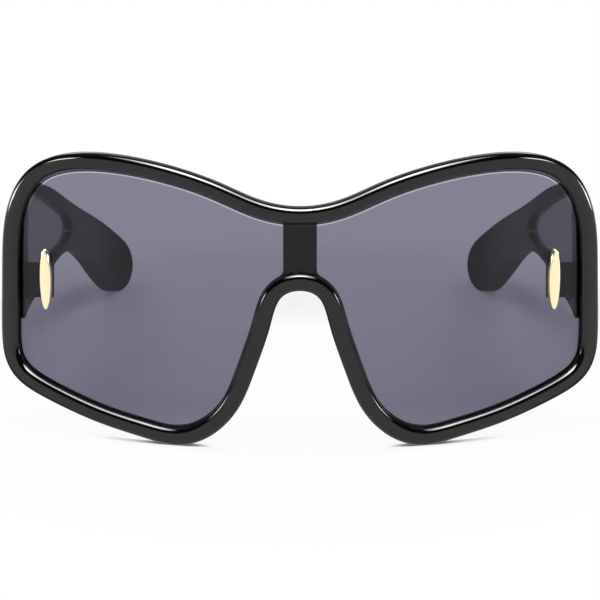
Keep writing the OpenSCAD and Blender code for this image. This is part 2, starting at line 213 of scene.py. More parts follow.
class Stance:
    """How the glasses stand: both frames' places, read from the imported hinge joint."""

    def __init__(self, sizes: Sizes, joints: Sequence[dict]) -> None:
        """Works out the tilt and the shared origin.

        Args:
            sizes: the sizes of the glasses.
            joints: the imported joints; the right temple's is used.
        """
        hinge = next(j for j in joints if j["name"] == "temple_right_fold")
        axis = Vector(hinge["axis"])
        self.tilt = math.atan2(axis.y, axis.z)
        self.lean = self.tilt - math.radians(sizes.panto)
        point = Vector((sizes.temple_u - sizes.seat, sizes.hinge_w, sizes.lug_z)) * MM
        self.origin = Vector(hinge["pos_m"]) - Matrix.Rotation(-self.tilt, 3, "X") @ point
        self.origin.x = 0

    def matrix(self, angle: float) -> Matrix:
        """The place of a frame that is turned by an angle, as a matrix in metres."""
        return Matrix.Translation(self.origin) @ Matrix.Rotation(-angle, 4, "X")

    def front(self) -> Matrix:
        """Place of the front's frame."""
        return self.matrix(self.lean)

    def temples(self) -> Matrix:
        """Place of the temples' frame."""
        return self.matrix(self.tilt)


STANCE = Stance(SIZES, frame["joints"])


# ---------------------------------------------------------------- outlines


def ring_curve(points: Sequence[Sequence[float]], steps: int) -> np.ndarray:
    """Cubic curve through the pull of a closed ring of points.

    Args:
        points: the ring's control points.
        steps: points on each span.

    Returns:
        The points of the curve, one row each.
    """
    p = np.asarray(points, float)
    t = np.arange(steps)[None, :, None] / steps
    s = 1 - t
    a, b, c, d = (np.roll(p, k, 0)[:, None, :] for k in (1, 0, -1, -2))
    curve = (s**3 * a + (3 * t**3 - 6 * t * t + 4) * b + (3 * s**3 - 6 * s * s + 4) * c + t**3 * d) / 6
    return curve.reshape(-1, p.shape[1])


def path_curve(points: Sequence[Sequence[float]], steps: int) -> np.ndarray:
    """Cubic curve along an open path of control points.

    Args:
        points: the control points, the first and last of which only pull.
        steps: points on each span.

    Returns:
        The points of the curve.
    """
    whole = ring_curve(points, steps)
    return whole[steps : (len(points) - 2) * steps]


def inward(loop: np.ndarray) -> np.ndarray:
    """Unit directions square to a clockwise loop, towards its inside."""
    t = np.roll(loop, -1, 0) - np.roll(loop, 1, 0)
    n = np.stack([t[:, 1], -t[:, 0]], 1)
    return n / np.linalg.norm(n, axis=1)[:, None]


def inset(loop: np.ndarray, distance: float | np.ndarray) -> np.ndarray:
    """The loop, moved towards its inside by a distance, or by one distance for each point."""
    return loop + np.broadcast_to(distance, len(loop))[:, None] * inward(loop)


def cut_loop(loop: np.ndarray, place: Sequence[float], keep: Sequence[float]) -> np.ndarray:
    """The part of a closed loop on one side of a line.

    Args:
        loop: the loop's points.
        place: a point on the line.
        keep: direction square to the line, towards the side that stays.

    Returns:
        The points that stay, closed along the line.
    """
    side = (loop - np.asarray(place)) @ np.asarray(keep)
    out = []
    for i in range(len(loop)):
        j = (i + 1) % len(loop)
        if side[i] >= 0:
            out.append(loop[i])
        if side[i] * side[j] < 0:
            out.append(loop[i] + (loop[j] - loop[i]) * side[i] / (side[i] - side[j]))
    return np.array(out)


def round_corners(loop: np.ndarray, radius: float, steps: int = 8) -> np.ndarray:
    """Rounds the sharp corners of a closed loop.

    Args:
        loop: the loop's points.
        radius: how far from a corner the rounding starts.
        steps: points on each rounding.

    Returns:
        The loop with its sharp corners replaced by arcs.
    """
    n = len(loop)
    before, after = loop - np.roll(loop, 1, 0), np.roll(loop, -1, 0) - loop
    across = before[:, 0] * after[:, 1] - before[:, 1] * after[:, 0]
    turn = np.abs(np.arctan2(across, (before * after).sum(1)))
    keep = np.ones(n, bool)
    arcs = {}
    for i in (i for i in range(n) if turn[i] > SHARP_TURN):
        j, k = i, i
        while np.linalg.norm(loop[(j - 1) % n] - loop[i]) < radius:
            j -= 1
        while np.linalg.norm(loop[(k + 1) % n] - loop[i]) < radius:
            k += 1

        def at(inner: np.ndarray, outer: np.ndarray) -> np.ndarray:
            """Point between two others at the rounding's distance from the corner."""
            a, b = np.linalg.norm(inner - loop[i]), np.linalg.norm(outer - loop[i])
            return inner + (outer - inner) * (radius - a) / max(b - a, 1e-9)

        first = at(loop[j % n], loop[(j - 1) % n])
        last = at(loop[k % n], loop[(k + 1) % n])
        for m in range(j, k + 1):
            keep[m % n] = False
        t = np.linspace(0, 1, steps)[:, None]
        arcs[i] = (1 - t) ** 2 * first + 2 * t * (1 - t) * loop[i] + t * t * last
    rounded = []
    for i in range(n):
        if i in arcs:
            rounded.extend(arcs[i])
        elif keep[i]:
            rounded.append(loop[i])
    return np.array(rounded)


class FrontOutline:
    """The outline of the front, stretched so that it is exactly as wide and as high as named."""

    def __init__(self, sizes: Sizes) -> None:
        """Scales the shares.

        Args:
            sizes: the sizes of the glasses.
        """
        half = np.array(OUTLINE_SHARES, float)
        shares = np.vstack([half, (half * (-1, 1))[-2:0:-1]])
        raw = ring_curve(shares, 4)
        low, high, wide = raw[:, 1].min(), raw[:, 1].max(), raw[:, 0].max()
        x = shares[:, 0] / wide * sizes.front_w / 2
        z = ((shares[:, 1] - low) / (high - low) - sizes.arch_share) * sizes.front_h
        self.control = np.stack([x, z], 1)
        self.half_count = len(half) - 1
        self.rim_shares = np.array(RIM_SHARES + RIM_SHARES[-2:0:-1], float)[:, None]
        self.rim_w = sizes.rim_w

    def loop(self, steps: int = 12) -> np.ndarray:
        """The outline's points, clockwise from the middle of the top."""
        return ring_curve(self.control, steps)

    def widths(self, steps: int = 12) -> np.ndarray:
        """Width of the rim at each point of the outline."""
        return ring_curve(self.rim_shares, steps)[:, 0] * self.rim_w


OUTLINE = FrontOutline(SIZES)


# ---------------------------------------------------------------- meshes


def add_object(name: str, data: bpy.types.ID) -> Object:
    """Links a mesh, curve, lamp or camera to the scene as a new object."""
    thing = bpy.data.objects.new(name, data)
    bpy.context.scene.collection.objects.link(thing)
    return thing


@contextmanager
def open_mesh(mesh: Mesh) -> Iterator[bmesh.types.BMesh]:
    """Opens a mesh for changes and keeps them."""
    bm = bmesh.new()
    bm.from_mesh(mesh)
    yield bm
    bm.to_mesh(mesh)
    bm.free()


def make_mesh(name: str, points: np.ndarray, faces: Sequence[Face]) -> Mesh:
    """A smooth closed mesh whose faces point outwards.

    Args:
        name: the mesh's name.
        points: its points in metres.
        faces: the corners of each face.

    Returns:
        The mesh, with doubles merged.
    """
    mesh = bpy.data.meshes.new(name)
    mesh.from_pydata([tuple(p) for p in points], [], faces)
    tidy_mesh(mesh)
    return mesh


def tidy_mesh(mesh: Mesh, distance: float = MERGE) -> None:
    """Merges doubles, turns every face outwards and shades it smooth."""
    with open_mesh(mesh) as bm:
        bmesh.ops.remove_doubles(bm, verts=bm.verts, dist=distance)
        bmesh.ops.dissolve_degenerate(bm, edges=bm.edges, dist=distance)
        bmesh.ops.recalc_face_normals(bm, faces=bm.faces)
        for face in bm.faces:
            face.smooth = True


def move_points(mesh: Mesh, rule: Callable[[np.ndarray], np.ndarray]) -> None:
    """Moves a mesh's points by a rule on an array with one row for each point."""
    co = np.empty(len(mesh.vertices) * 3)
    mesh.vertices.foreach_get("co", co)
    mesh.vertices.foreach_set("co", np.ascontiguousarray(rule(co.reshape(-1, 3))).ravel())
    mesh.update()


def settle(thing: Object) -> Object:
    """Turns an object's modifiers into plain mesh and removes them."""
    graph = bpy.context.evaluated_depsgraph_get()
    mesh = bpy.data.meshes.new_from_object(
        thing.evaluated_get(graph), preserve_all_data_layers=True, depsgraph=graph
    )
    thing.modifiers.clear()
    thing.data = mesh
    return thing


def weigh_normals(thing: Object) -> None:
    """Keeps broad faces flat in the shading, so that only the roundings turn the light."""
    modifier = thing.modifiers.new("broad faces", "WEIGHTED_NORMAL")
    modifier.weight = 100
    modifier.keep_sharp = True


def bevel_edges(thing: Object, width: float, segments: int = 3, angle: float = 40) -> None:
    """Rounds an object's sharp edges by a width in millimetres."""
    modifier = thing.modifiers.new("rounded edges", "BEVEL")
    modifier.width = width * MM
    modifier.segments = segments
    modifier.limit_method = "ANGLE"
    modifier.angle_limit = math.radians(angle)
    modifier.harden_normals = False


def flat_plate(
    name: str, loops: Sequence[np.ndarray], thickness: float, rounding: float, steps: int = 3
) -> Mesh:
    """A flat plate with holes and rounded edges, from loops in one plane.

    Args:
        name: the mesh's name.
        loops: the outer loop and the loops of its holes.
        thickness: the plate's thickness.
        rounding: radius of its edges.
        steps: how finely the roundings are cut.

    Returns:
        A mesh in millimetres: x and y as in the loops, z from 0 to the thickness.
    """
    curve = bpy.data.curves.new(name, "CURVE")
    curve.dimensions = "2D"
    curve.fill_mode = "BOTH"
    curve.extrude = thickness / 2 - rounding
    curve.bevel_depth = rounding
    curve.offset = -rounding
    curve.bevel_resolution = steps
    for loop in loops:
        spline = curve.splines.new("POLY")
        spline.points.add(len(loop) - 1)
        spline.points.foreach_set("co", np.c_[loop, np.zeros(len(loop)), np.ones(len(loop))].ravel())
        spline.use_cyclic_u = True
    holder = add_object(name, curve)
    bpy.context.view_layer.update()
    graph = bpy.context.evaluated_depsgraph_get()
    mesh = bpy.data.meshes.new_from_object(holder.evaluated_get(graph), depsgraph=graph)
    bpy.data.objects.remove(holder)
    bpy.data.curves.remove(curve)
    mesh.name = name
    move_points(mesh, lambda p: p + (0, 0, thickness / 2))
    return mesh


def slice_mesh(mesh: Mesh, places: Iterable[float]) -> None:
    """Cuts a mesh's faces along planes square to x, so that they can bend.

    Args:
        mesh: the mesh in millimetres, which stays whole.
        places: where the planes stand along x.
    """
    x = Vector((1, 0, 0))
    with open_mesh(mesh) as bm:
        bmesh.ops.remove_doubles(bm, verts=bm.verts, dist=CLOSE)
        for place in places:
            everything = bm.verts[:] + bm.edges[:] + bm.faces[:]
            bmesh.ops.bisect_plane(bm, geom=everything, dist=CLOSE, plane_co=x * place, plane_no=x)


def wrap_mesh(mesh: Mesh, reach: float, start: float = 0) -> None:
    """Bends a flat mesh (x, height, depth) to the wrap of the front.

    Args:
        mesh: the mesh in millimetres, which becomes metres.
        reach: how far to each side it is cut so that it can bend.
        start: how far behind the lens face its depth starts.
    """
    slice_mesh(mesh, np.arange(-reach, reach + 1, FRONT_SLICE))
    move_points(mesh, lambda p: np.stack([p[:, 0], SIZES.bend(p[:, 0], start + p[:, 2]), p[:, 1]], 1) * MM)
    tidy_mesh(mesh)


def corner_order(mesh: Mesh) -> np.ndarray:
    """A mesh's corners, sorted by their face and then by their point."""
    points, faces = np.empty(len(mesh.loops), int), np.empty(len(mesh.polygons), int)
    mesh.loops.foreach_get("vertex_index", points)
    mesh.polygons.foreach_get("loop_total", faces)
    return np.lexsort((points, np.repeat(np.arange(len(faces)), faces)))


def mirror_copy(thing: Object, name: str) -> Object:
    """A copy of an object on the other side of the middle, with its faces and shading turned outwards."""
    mesh = thing.data.copy()
    mesh.name = name
    normals = np.empty((len(mesh.loops), 3))
    mesh.corner_normals.foreach_get("vector", normals.ravel())
    first = corner_order(mesh)
    mesh.transform(Matrix.Diagonal((-1, 1, 1, 1)))
    mesh.flip_normals()
    turned = np.empty_like(normals)
    turned[corner_order(mesh)] = normals[first] * (-1, 1, 1)
    mesh.normals_split_custom_set(turned.tolist())
    return add_object(name, mesh)


def join_meshes(name: str, meshes: Sequence[Mesh]) -> Mesh:
    """One mesh that holds several."""
    whole = bpy.data.meshes.new(name)
    with open_mesh(whole) as bm:
        for mesh in meshes:
            bm.from_mesh(mesh)
    return whole


def walls(rings: int, count: int, first: int = 0) -> list[Face]:
    """The faces from ring to ring of a tube of points.

    Args:
        rings: how many rings it has.
        count: points on each ring.
        first: the number of its first point.

    Returns:
        The corners of each face.
    """
    starts = range(first, first + (rings - 1) * count, count)
    return [(a + k, a + (k + 1) % count, a + count + (k + 1) % count, a + count + k)
            for a in starts for k in range(count)]


def ends(rings: int, count: int, first: int = 0) -> list[Face]:
    """The two end faces of such a tube."""
    return [tuple(range(a, a + count)) for a in (first, first + (rings - 1) * count)]


def cut_away(thing: Object, cutter: Object) -> None:
    """Takes one object's solid out of another's with a modifier."""
    cut = thing.modifiers.new("cut", "BOOLEAN")
    cut.object, cut.operation, cut.solver = cutter, "DIFFERENCE", "EXACT"


def sharpen(mesh: Mesh, angle: float) -> None:
    """Keeps the edges that turn by more than an angle crisp in the shading."""
    mesh.set_sharp_from_angle(angle=math.radians(angle))


# ---------------------------------------------------------------- nodes and finishes


class NodeTree:
    """Short calls for a tree of nodes."""

    def __init__(self, tree: bpy.types.NodeTree) -> None:
        """Takes a tree on.

        Args:
            tree: the tree, which may hold nodes already.
        """
        self.tree = tree

    def node(self, kind: str, *feeds: object, **settings: object) -> Node:
        """Adds a node, sets its properties and feeds its inputs in order.

        Args:
            kind: the node's type.
            feeds: a socket, a plain value or None for each input in use.
            settings: the node's properties.

        Returns:
            The node.
        """
        made = self.tree.nodes.new(kind)
        for key, value in settings.items():
            setattr(made, key, value)
        for target, source in zip((i for i in made.inputs if i.enabled), feeds):
            self.feed(target, source)
        return made

    def feed(self, target: Socket, source: object) -> None:
        """Feeds one input with a socket or a plain value."""
        if isinstance(source, Socket):
            self.tree.links.new(source, target)
        elif source is not None:
            target.default_value = source

    def fill(self, node: Node, **feeds: object) -> Node:
        """Feeds a node's inputs by their names, in which _ stands for a blank."""
        for key, source in feeds.items():
            self.feed(node.inputs[key.replace("_", " ")], source)
        return node

    def math(self, operation: str, *values: object) -> Socket:
        """A sum on sockets or plain values."""
        return self.node("ShaderNodeMath", *values, operation=operation).outputs[0]

    def product(self, first: Socket, second: Socket) -> Socket:
        """Two values multiplied."""
        return self.math("MULTIPLY", first, second)

    def span(
        self, source: Socket, low: float, high: float, start: float = 0.3, end: float = 0.7
    ) -> Socket:
        """A value that goes softly from low to high while the source goes from start to end."""
        feeds = (source, start, end, low, high)
        return self.node("ShaderNodeMapRange", *feeds, interpolation_type="SMOOTHSTEP").outputs["Result"]

    def parts(self, vector: Socket) -> dict[str, Socket]:
        """A vector's x, y and z."""
        return dict(zip("xyz", self.node("ShaderNodeSeparateXYZ", vector).outputs))

    def rays(self) -> tuple[Node, Socket, Socket]:
        """The node with a ray's kinds, and whether the ray is seen (also through a lens) or mirrored."""
        ray = self.node("ShaderNodeLightPath")
        through = ray.outputs["Is Transmission Ray"]
        seen = self.math("MAXIMUM", ray.outputs["Is Camera Ray"], through)
        return ray, seen, self.math("GREATER_THAN", ray.outputs["Is Glossy Ray"], through)


class Shading(NodeTree):
    """One material's nodes, with its surface and its output."""

    def __init__(self, name: str) -> None:
        """Starts a material.

        Args:
            name: the material's name.
        """
        self.material = bpy.data.materials.new(name)
        self.material.use_nodes = True
        super().__init__(self.material.node_tree)
        self.tree.nodes.clear()
        self.place = self.node("ShaderNodeTexCoord").outputs["Object"]
        self.surface = self.node("ShaderNodeBsdfPrincipled")
        self.output = self.node("ShaderNodeOutputMaterial", self.surface.outputs[0])

    def noise(self, scale: float, detail: float = 3, stretch: Colour = (1, 1, 1)) -> Socket:
        """Noise of a scale in features per metre, which may be stretched along axes."""
        mapping = self.fill(self.node("ShaderNodeMapping"), Vector=self.place, Scale=stretch)
        made = self.node("ShaderNodeTexNoise")
        return self.fill(made, Vector=mapping.outputs[0], Scale=scale, Detail=detail).outputs["Fac"]

    def profile(self, source: Socket, stops: Sequence[Pair]) -> Socket:
        """A value that follows stops of (source, value)."""
        first, last = stops[0][0], stops[-1][0]
        scaled = self.node("ShaderNodeMapRange", source, first, last)
        ramp = self.node("ShaderNodeValToRGB", scaled.outputs["Result"])
        points = ramp.color_ramp.elements
        while len(points) < len(stops):
            points.new(0.5)
        for point, (at, value) in zip(points, stops):
            point.position = (at - first) / (last - first)
            point.color = (value, value, value, 1)
        return ramp.outputs["Color"]

    def blend(self, factor: Socket, first: object, second: object) -> Socket:
        """A colour between two others, which are sockets or plain colours."""
        first, second = (c if isinstance(c, Socket) else (*c, 1) for c in (first, second))
        made = self.node("ShaderNodeMix", data_type="RGBA")
        return self.fill(made, Factor=factor, A=first, B=second).outputs["Result"]

    def bump(self, height: Socket, depth: float) -> None:
        """Fine relief of a depth in millimetres on the surface."""
        made = self.fill(self.node("ShaderNodeBump"), Height=height, Distance=depth * MM)
        self.fill(self.surface, Normal=made.outputs["Normal"])

    def glow(self, strength: object) -> Socket:
        """White light of its own, of a strength."""
        return self.fill(self.node("ShaderNodeEmission"), Strength=strength).outputs[0]

    def mix(self, factor: Socket, first: Socket, second: Socket) -> Socket:
        """A surface between two others."""
        return self.node("ShaderNodeMixShader", factor, first, second).outputs[0]


@dataclass(frozen=True)
class MouldedPlastic:
    """Black plastic, polished or satin, with faint flow marks and fine wear."""

    name: str
    slot: str
    dark: Colour
    pale: Colour
    smooth: float
    worn: float
    ior: float = 1.46
    ripple: float = 0.0016
    flow_scale: float = 55
    flow_stretch: Colour = (1, 0.5, 1.6)
    wear_scale: float = 900
    scuff_scale: float = 420
    scuff_stretch: Colour = (0.25, 1, 2.5)
    ripple_scale: float = 260

    def material(self) -> bpy.types.Material:
        """Builds the material."""
        s = Shading(self.name)
        flow = s.noise(self.flow_scale, 2, self.flow_stretch)
        scuffs = s.noise(self.scuff_scale, 5, self.scuff_stretch)
        wear = s.product(s.span(s.noise(self.wear_scale, 4), 0.4, 1), s.span(scuffs, 0.5, 1, 0.4, 0.75))
        s.fill(s.surface, Base_Color=s.blend(s.span(flow, 0, 1), self.dark, self.pale),
               Roughness=s.span(wear, self.smooth, self.worn, 0.15, 0.95), IOR=self.ior)
        s.bump(s.noise(self.ripple_scale, 2), self.ripple)
        return s.material


@dataclass(frozen=True)
class TintedLens:
    """Clear plastic with a smoke tint, a little lighter towards the top; near its edge a painted dark band
    of shade and a painted pale highlight line.
    """

    name: str
    slot: str
    upper: Colour
    lower: Colour
    low_z: float = 4
    high_z: float = 60
    # the edge's painted highlight (a pale line) and painted shade (a dark band under the rim)
    pale_edge: Colour = (0.97, 0.96, 1.0)
    dark_edge: Colour = (0.001, 0.001, 0.001)
    ior: float = 1.5
    shine: float = 0.45
    smear_scale: float = 38
    grain_scale: float = 700
    smear_rough: float = 0.012

    def material(self) -> bpy.types.Material:
        """Builds the material."""
        s = Shading(self.name)
        rise = s.span(s.parts(s.place)["z"], 0, 1, self.low_z * MM, self.high_z * MM)
        tint = s.blend(rise, self.lower, self.upper)
        # painted light along the edge: above 0 it blends to the pale painted highlight, below 0 to the
        # dark painted shade
        edge = s.node("ShaderNodeAttribute", attribute_name="edge_tone").outputs["Fac"]
        for full, colour in ((1, self.pale_edge), (-1, self.dark_edge)):
            tint = s.blend(s.span(edge, 0, 1, 0, full), tint, colour)
        smears = s.product(s.noise(self.smear_scale, 4, (1, 1, 0.4)), s.noise(self.grain_scale, 3))
        s.fill(s.surface, Base_Color=tint, Transmission_Weight=1.0, IOR=self.ior,
               Specular_Tint=(self.shine, self.shine, self.shine, 1),
               Roughness=s.span(smears, 0, self.smear_rough, 0.2, 0.6))
        clear = s.node("ShaderNodeBsdfTransparent", tint)
        shadow = s.node("ShaderNodeLightPath").outputs["Is Shadow Ray"]
        s.fill(s.output, Surface=s.mix(shadow, s.surface.outputs[0], clear.outputs[0]))
        return s.material


@dataclass(frozen=True)
class PlatedMetal:
    """Plated or bare metal with a fine directional grain."""

    name: str
    slot: str
    bright: Colour
    dull: Colour
    smooth: float
    worn: float
    grain: Colour = (1, 1, 12)
    grain_scale: float = 650
    cloud_scale: float = 240
    relief: float = 0.0012

    def material(self) -> bpy.types.Material:
        """Builds the material."""
        s = Shading(self.name)
        brushed = s.noise(self.grain_scale, 4, self.grain)
        clouds = s.span(s.noise(self.cloud_scale, 3), 0, 1)
        s.fill(s.surface, Base_Color=s.blend(clouds, self.bright, self.dull),
               Roughness=s.span(brushed, self.smooth, self.worn), Metallic=1.0)
        s.bump(brushed, self.relief)
        return s.material


class Finishes:
    """Every finish of the glasses, built once."""

    def __init__(self) -> None:
        """Builds the materials by their record slots."""
        kinds = (
            MouldedPlastic("polished_black", "gloss_black", (0.0016, 0.0017, 0.0016),
                           (0.003, 0.0032, 0.003), 0.03, 0.09),
            MouldedPlastic("satin_black", "satin_black", (0.0022, 0.0024, 0.0023),
                           (0.0042, 0.0045, 0.0043), 0.18, 0.3, ripple=0.0022),
            TintedLens("smoke_tint", "smoke_lens", (0.217, 0.206, 0.279), (0.187, 0.18, 0.247)),
            PlatedMetal("gold_plate", "gold", (1.0, 0.89, 0.6), (0.99, 0.86, 0.54), 0.08, 0.16),
            PlatedMetal("hinge_nickel", "hinge_steel", (0.52, 0.52, 0.53), (0.4, 0.4, 0.41), 0.25, 0.42),
            PlatedMetal("dark_screw", "dark_steel", (0.46, 0.46, 0.47), (0.34, 0.34, 0.35), 0.3, 0.5),
        )
        self.materials = {kind.slot: kind.material() for kind in kinds}
        pale = TintedLens("smoke_tint_side", "smoke_lens", (0.3, 0.305, 0.31), (0.27, 0.275, 0.28))
        self.side_lens = pale.material()

    def dress(self, thing: Object, slot: str) -> None:
        """Gives an object the finish of a record slot; the side lenses are a paler smoke."""
        material = self.side_lens if thing.name.startswith("side_lens") else self.materials[slot]
        thing.data.materials.clear()
        thing.data.materials.append(material)


def mount(thing: Object, body: str, finishes: Finishes, slot: str, *nodes: str) -> None:
    """Puts a finished piece on its body, in place of the solids that it stands for.

    Args:
        thing: the piece.
        body: the body that it rides on.
        finishes: the finishes.
        slot: the record's material slot.
        nodes: the solids that it replaces.
    """
    finishes.dress(thing, slot)
    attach(thing, body)
    if nodes:
        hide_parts(*nodes)
    LOG.info("%s on %s, %d faces", thing.name, body, len(thing.data.polygons))


# ---------------------------------------------------------------- geometry node trees


class NodeWork(NodeTree):
    """A tree of geometry nodes with named inputs, whose result becomes plain mesh."""

    def __init__(self, name: str, inputs: dict[str, float | Object | tuple]) -> None:
        """Starts a tree.

        Args:
            name: the tree's name.
            inputs: the named inputs and their values: numbers, whole numbers, vectors or objects.
        """
        super().__init__(bpy.data.node_groups.new(name, "GeometryNodeTree"))
        face = self.tree.interface
        face.new_socket("Geometry", in_out="INPUT", socket_type="NodeSocketGeometry")
        face.new_socket("Geometry", in_out="OUTPUT", socket_type="NodeSocketGeometry")
        self.values = {}
        for key, value in inputs.items():
            kind = {int: "Int", float: "Float", tuple: "Vector", Object: "Object"}[type(value)]
            made = face.new_socket(key, in_out="INPUT", socket_type="NodeSocket" + kind)
            self.values[made.identifier] = value
        self.start = self.node("NodeGroupInput")
        self.end = self.node("NodeGroupOutput")

    def given(self, name: str) -> Socket:
        """The socket of a named input."""
        return self.start.outputs[name]

    def choose(self, node: Node, option: str) -> None:
        """Sets a node's mode, which is a property or a menu input by the node's age."""
        if hasattr(node, "mode"):
            node.mode = option.upper()
        else:
            node.inputs["Mode"].default_value = option

    def capture(self, geometry: Socket, **values: Socket) -> tuple[Socket, ...]:
        """Keeps fields with the points of a geometry.

        Args:
            geometry: the geometry.
            values: a field for each kind of value.

        Returns:
            The geometry, and then the kept fields in order.
        """
        made = self.node("GeometryNodeCaptureAttribute", domain="POINT")
        for kind in values:
            made.capture_items.new("VECTOR" if "VECTOR" in kind else kind, kind.lower())
        for target, source in zip(made.inputs, (geometry, *values.values())):
            self.feed(target, source)
        return tuple(made.outputs)[: 1 + len(values)]

    def run(self, thing: Object, last: Socket, material: bpy.types.Material) -> Object:
        """Ends the tree, runs it on an object and keeps the result as plain mesh.

        Args:
            thing: the object that the tree works on.
            last: the geometry to keep.
            material: its material.

        Returns:
            The same object with the result as its mesh.
        """
        real = self.node("GeometryNodeRealizeInstances", last)
        dressed = self.node("GeometryNodeSetMaterial", real.outputs[0], None, material)
        self.feed(self.end.inputs[0], dressed.outputs[0])
        modifier = thing.modifiers.new(self.tree.name, "NODES")
        modifier.node_group = self.tree
        for key, value in self.values.items():
            modifier[key] = value
        return settle(thing)


# ---------------------------------------------------------------- the front


@dataclass
class FrontRim:
    """The glossy rim: a section with two round shoulders, led round the outline and wrapped."""

    sizes: Sizes
    edge_r: float = 0.18
    curve_steps: int = 10
    shoulder_steps: int = 9

    def build(self, finishes: Finishes) -> Object:
        """Builds the rim with a tree of geometry nodes.

        Args:
            finishes: the finishes.

        Returns:
            The rim.
        """
        s = self.sizes
        ring = OUTLINE.control * MM
        count = len(ring)
        mesh = bpy.data.meshes.new("front_rim_gloss")
        mesh.from_pydata([(x, z, 0) for x, z in ring], [(i, (i + 1) % count) for i in range(count)], [])
        shares = mesh.attributes.new("rim_share", "FLOAT", "POINT")
        shares.data.foreach_set("value", OUTLINE.rim_shares.ravel())
        thing = add_object("front_rim_gloss", mesh)
        work = NodeWork("swept_rim", {
            "Rim width": s.rim_w * MM, "Proud": s.rim_proud * MM, "Shoulder radius": s.shoulder_r * MM,
            "Wall": s.rim_wall * MM, "Lens thickness": s.lens_t * MM, "Lens gap": s.fit_gap * MM,
            "Edge radius": self.edge_r * MM, "Wrap radius": s.wrap_r * MM,
            "Curve steps": self.curve_steps, "Shoulder steps": self.shoulder_steps,
        })
        path = work.node("GeometryNodeMeshToCurve", work.start.outputs[0]).outputs[0]
        path = work.node("GeometryNodeCurveSplineType", path, spline_type="NURBS").outputs[0]
        steps = work.given("Curve steps")
        path = work.node("GeometryNodeSetSplineResolution", path, None, steps).outputs[0]
        path = work.node("GeometryNodeResampleCurve", path)
        work.choose(path, "Evaluated")
        here = work.node("GeometryNodeInputPosition").outputs[0]
        share = work.node("GeometryNodeInputNamedAttribute", "rim_share", data_type="FLOAT").outputs[0]
        tangent = work.node("GeometryNodeInputTangent").outputs[0]
        path, spot, share, along = work.capture(
            path.outputs[0], VECTOR=here, FLOAT=share, FLOAT_VECTOR=tangent
        )
        section, across = work.capture(self.section(work), VECTOR=here)
        swept = work.node("GeometryNodeCurveToMesh", path, section).outputs[0]
        wrapped = self.wrap(work, swept, spot, share, along, across)
        smooth = work.node("GeometryNodeSetShadeSmooth", wrapped).outputs[0]
        work.run(thing, smooth, finishes.materials["gloss_black"])
        thing.data.transform(STANCE.front())
        if "rim_share" in thing.data.attributes:
            thing.data.attributes.remove(thing.data.attributes["rim_share"])
        tidy_mesh(thing.data, MERGE / 10)
        mount(thing, "front", finishes, "gloss_black", "front_rim")
        return thing

    def section(self, work: NodeWork) -> Socket:
        """The rim's section as a closed curve: x is the way in from the outer edge, y the depth."""
        back, gap = work.given("Lens thickness"), work.math("MULTIPLY", work.given("Lens gap"), -1.0)
        front = work.math("MULTIPLY", work.given("Proud"), -1.0)
        rim, wall = work.given("Rim width"), work.given("Wall")
        corners = [(None, back), (None, front), (rim, front), (rim, gap), (wall, gap), (wall, back)]
        index = work.node("GeometryNodeInputIndex").outputs[0]
        places = work.node("GeometryNodeIndexSwitch", data_type="VECTOR")
        radii = work.node("GeometryNodeIndexSwitch", data_type="FLOAT")
        for switch in (places, radii):
            while len(switch.index_switch_items) < len(corners):
                switch.index_switch_items.new()
            work.feed(switch.inputs[0], index)
        for k, (across, depth) in enumerate(corners):
            spot = work.node("ShaderNodeCombineXYZ", across, depth)
            work.feed(places.inputs[k + 1], spot.outputs[0])
            radius = "Shoulder radius" if depth is front else "Edge radius"
            work.feed(radii.inputs[k + 1], work.given(radius))
        points = work.node("GeometryNodePoints", len(corners), places.outputs[0]).outputs[0]
        line = work.node("GeometryNodePointsToCurves", points).outputs[0]
        line = work.node("GeometryNodeSetSplineCyclic", line, None, True).outputs[0]
        fillet = work.node("GeometryNodeFilletCurve", mode="POLY")
        work.fill(fillet, Curve=line, Count=work.given("Shoulder steps"), Radius=radii.outputs[0],
                  Limit_Radius=True)
        return fillet.outputs[0]

    def wrap(
        self, work: NodeWork, swept: Socket, spot: Socket, share: Socket, along: Socket, across: Socket
    ) -> Socket:
        """Places every point of the sweep on the wrapped front.

        Args:
            work: the tree.
            swept: the swept ring.
            spot: each point's place on the outline.
            share: the rim's width there, as a share of the usual width.
            along: the outline's direction there.
            across: the point's place in the section.

        Returns:
            The wrapped ring: x, y back and z up.
        """
        plus, minus, times = (partial(work.math, kind) for kind in ("ADD", "SUBTRACT", "MULTIPLY"))
        radius, width = work.given("Wrap radius"), work.given("Rim width")
        reach, depth = work.node("ShaderNodeSeparateXYZ", across).outputs[:2]
        flat_end = minus(minus(width, work.given("Shoulder radius")), 1e-6)
        inner = work.math("GREATER_THAN", reach, flat_end)
        reach = plus(reach, times(times(width, inner), minus(share, 1.0)))
        to_x, to_z = work.node("ShaderNodeSeparateXYZ", along).outputs[:2]
        x, z = work.node("ShaderNodeSeparateXYZ", spot).outputs[:2]
        x, z = plus(x, times(reach, to_z)), minus(z, times(reach, to_x))
        proud = work.math("MINIMUM", depth, 0.0)
        x = times(x, work.math("DIVIDE", minus(radius, proud), radius))
        level = minus(radius, depth)
        root = work.math("SQRT", minus(times(level, level), times(x, x)))
        place = work.node("ShaderNodeCombineXYZ", x, minus(radius, root), z).outputs[0]
        return work.node("GeometryNodeSetPosition", swept, None, place).outputs[0]


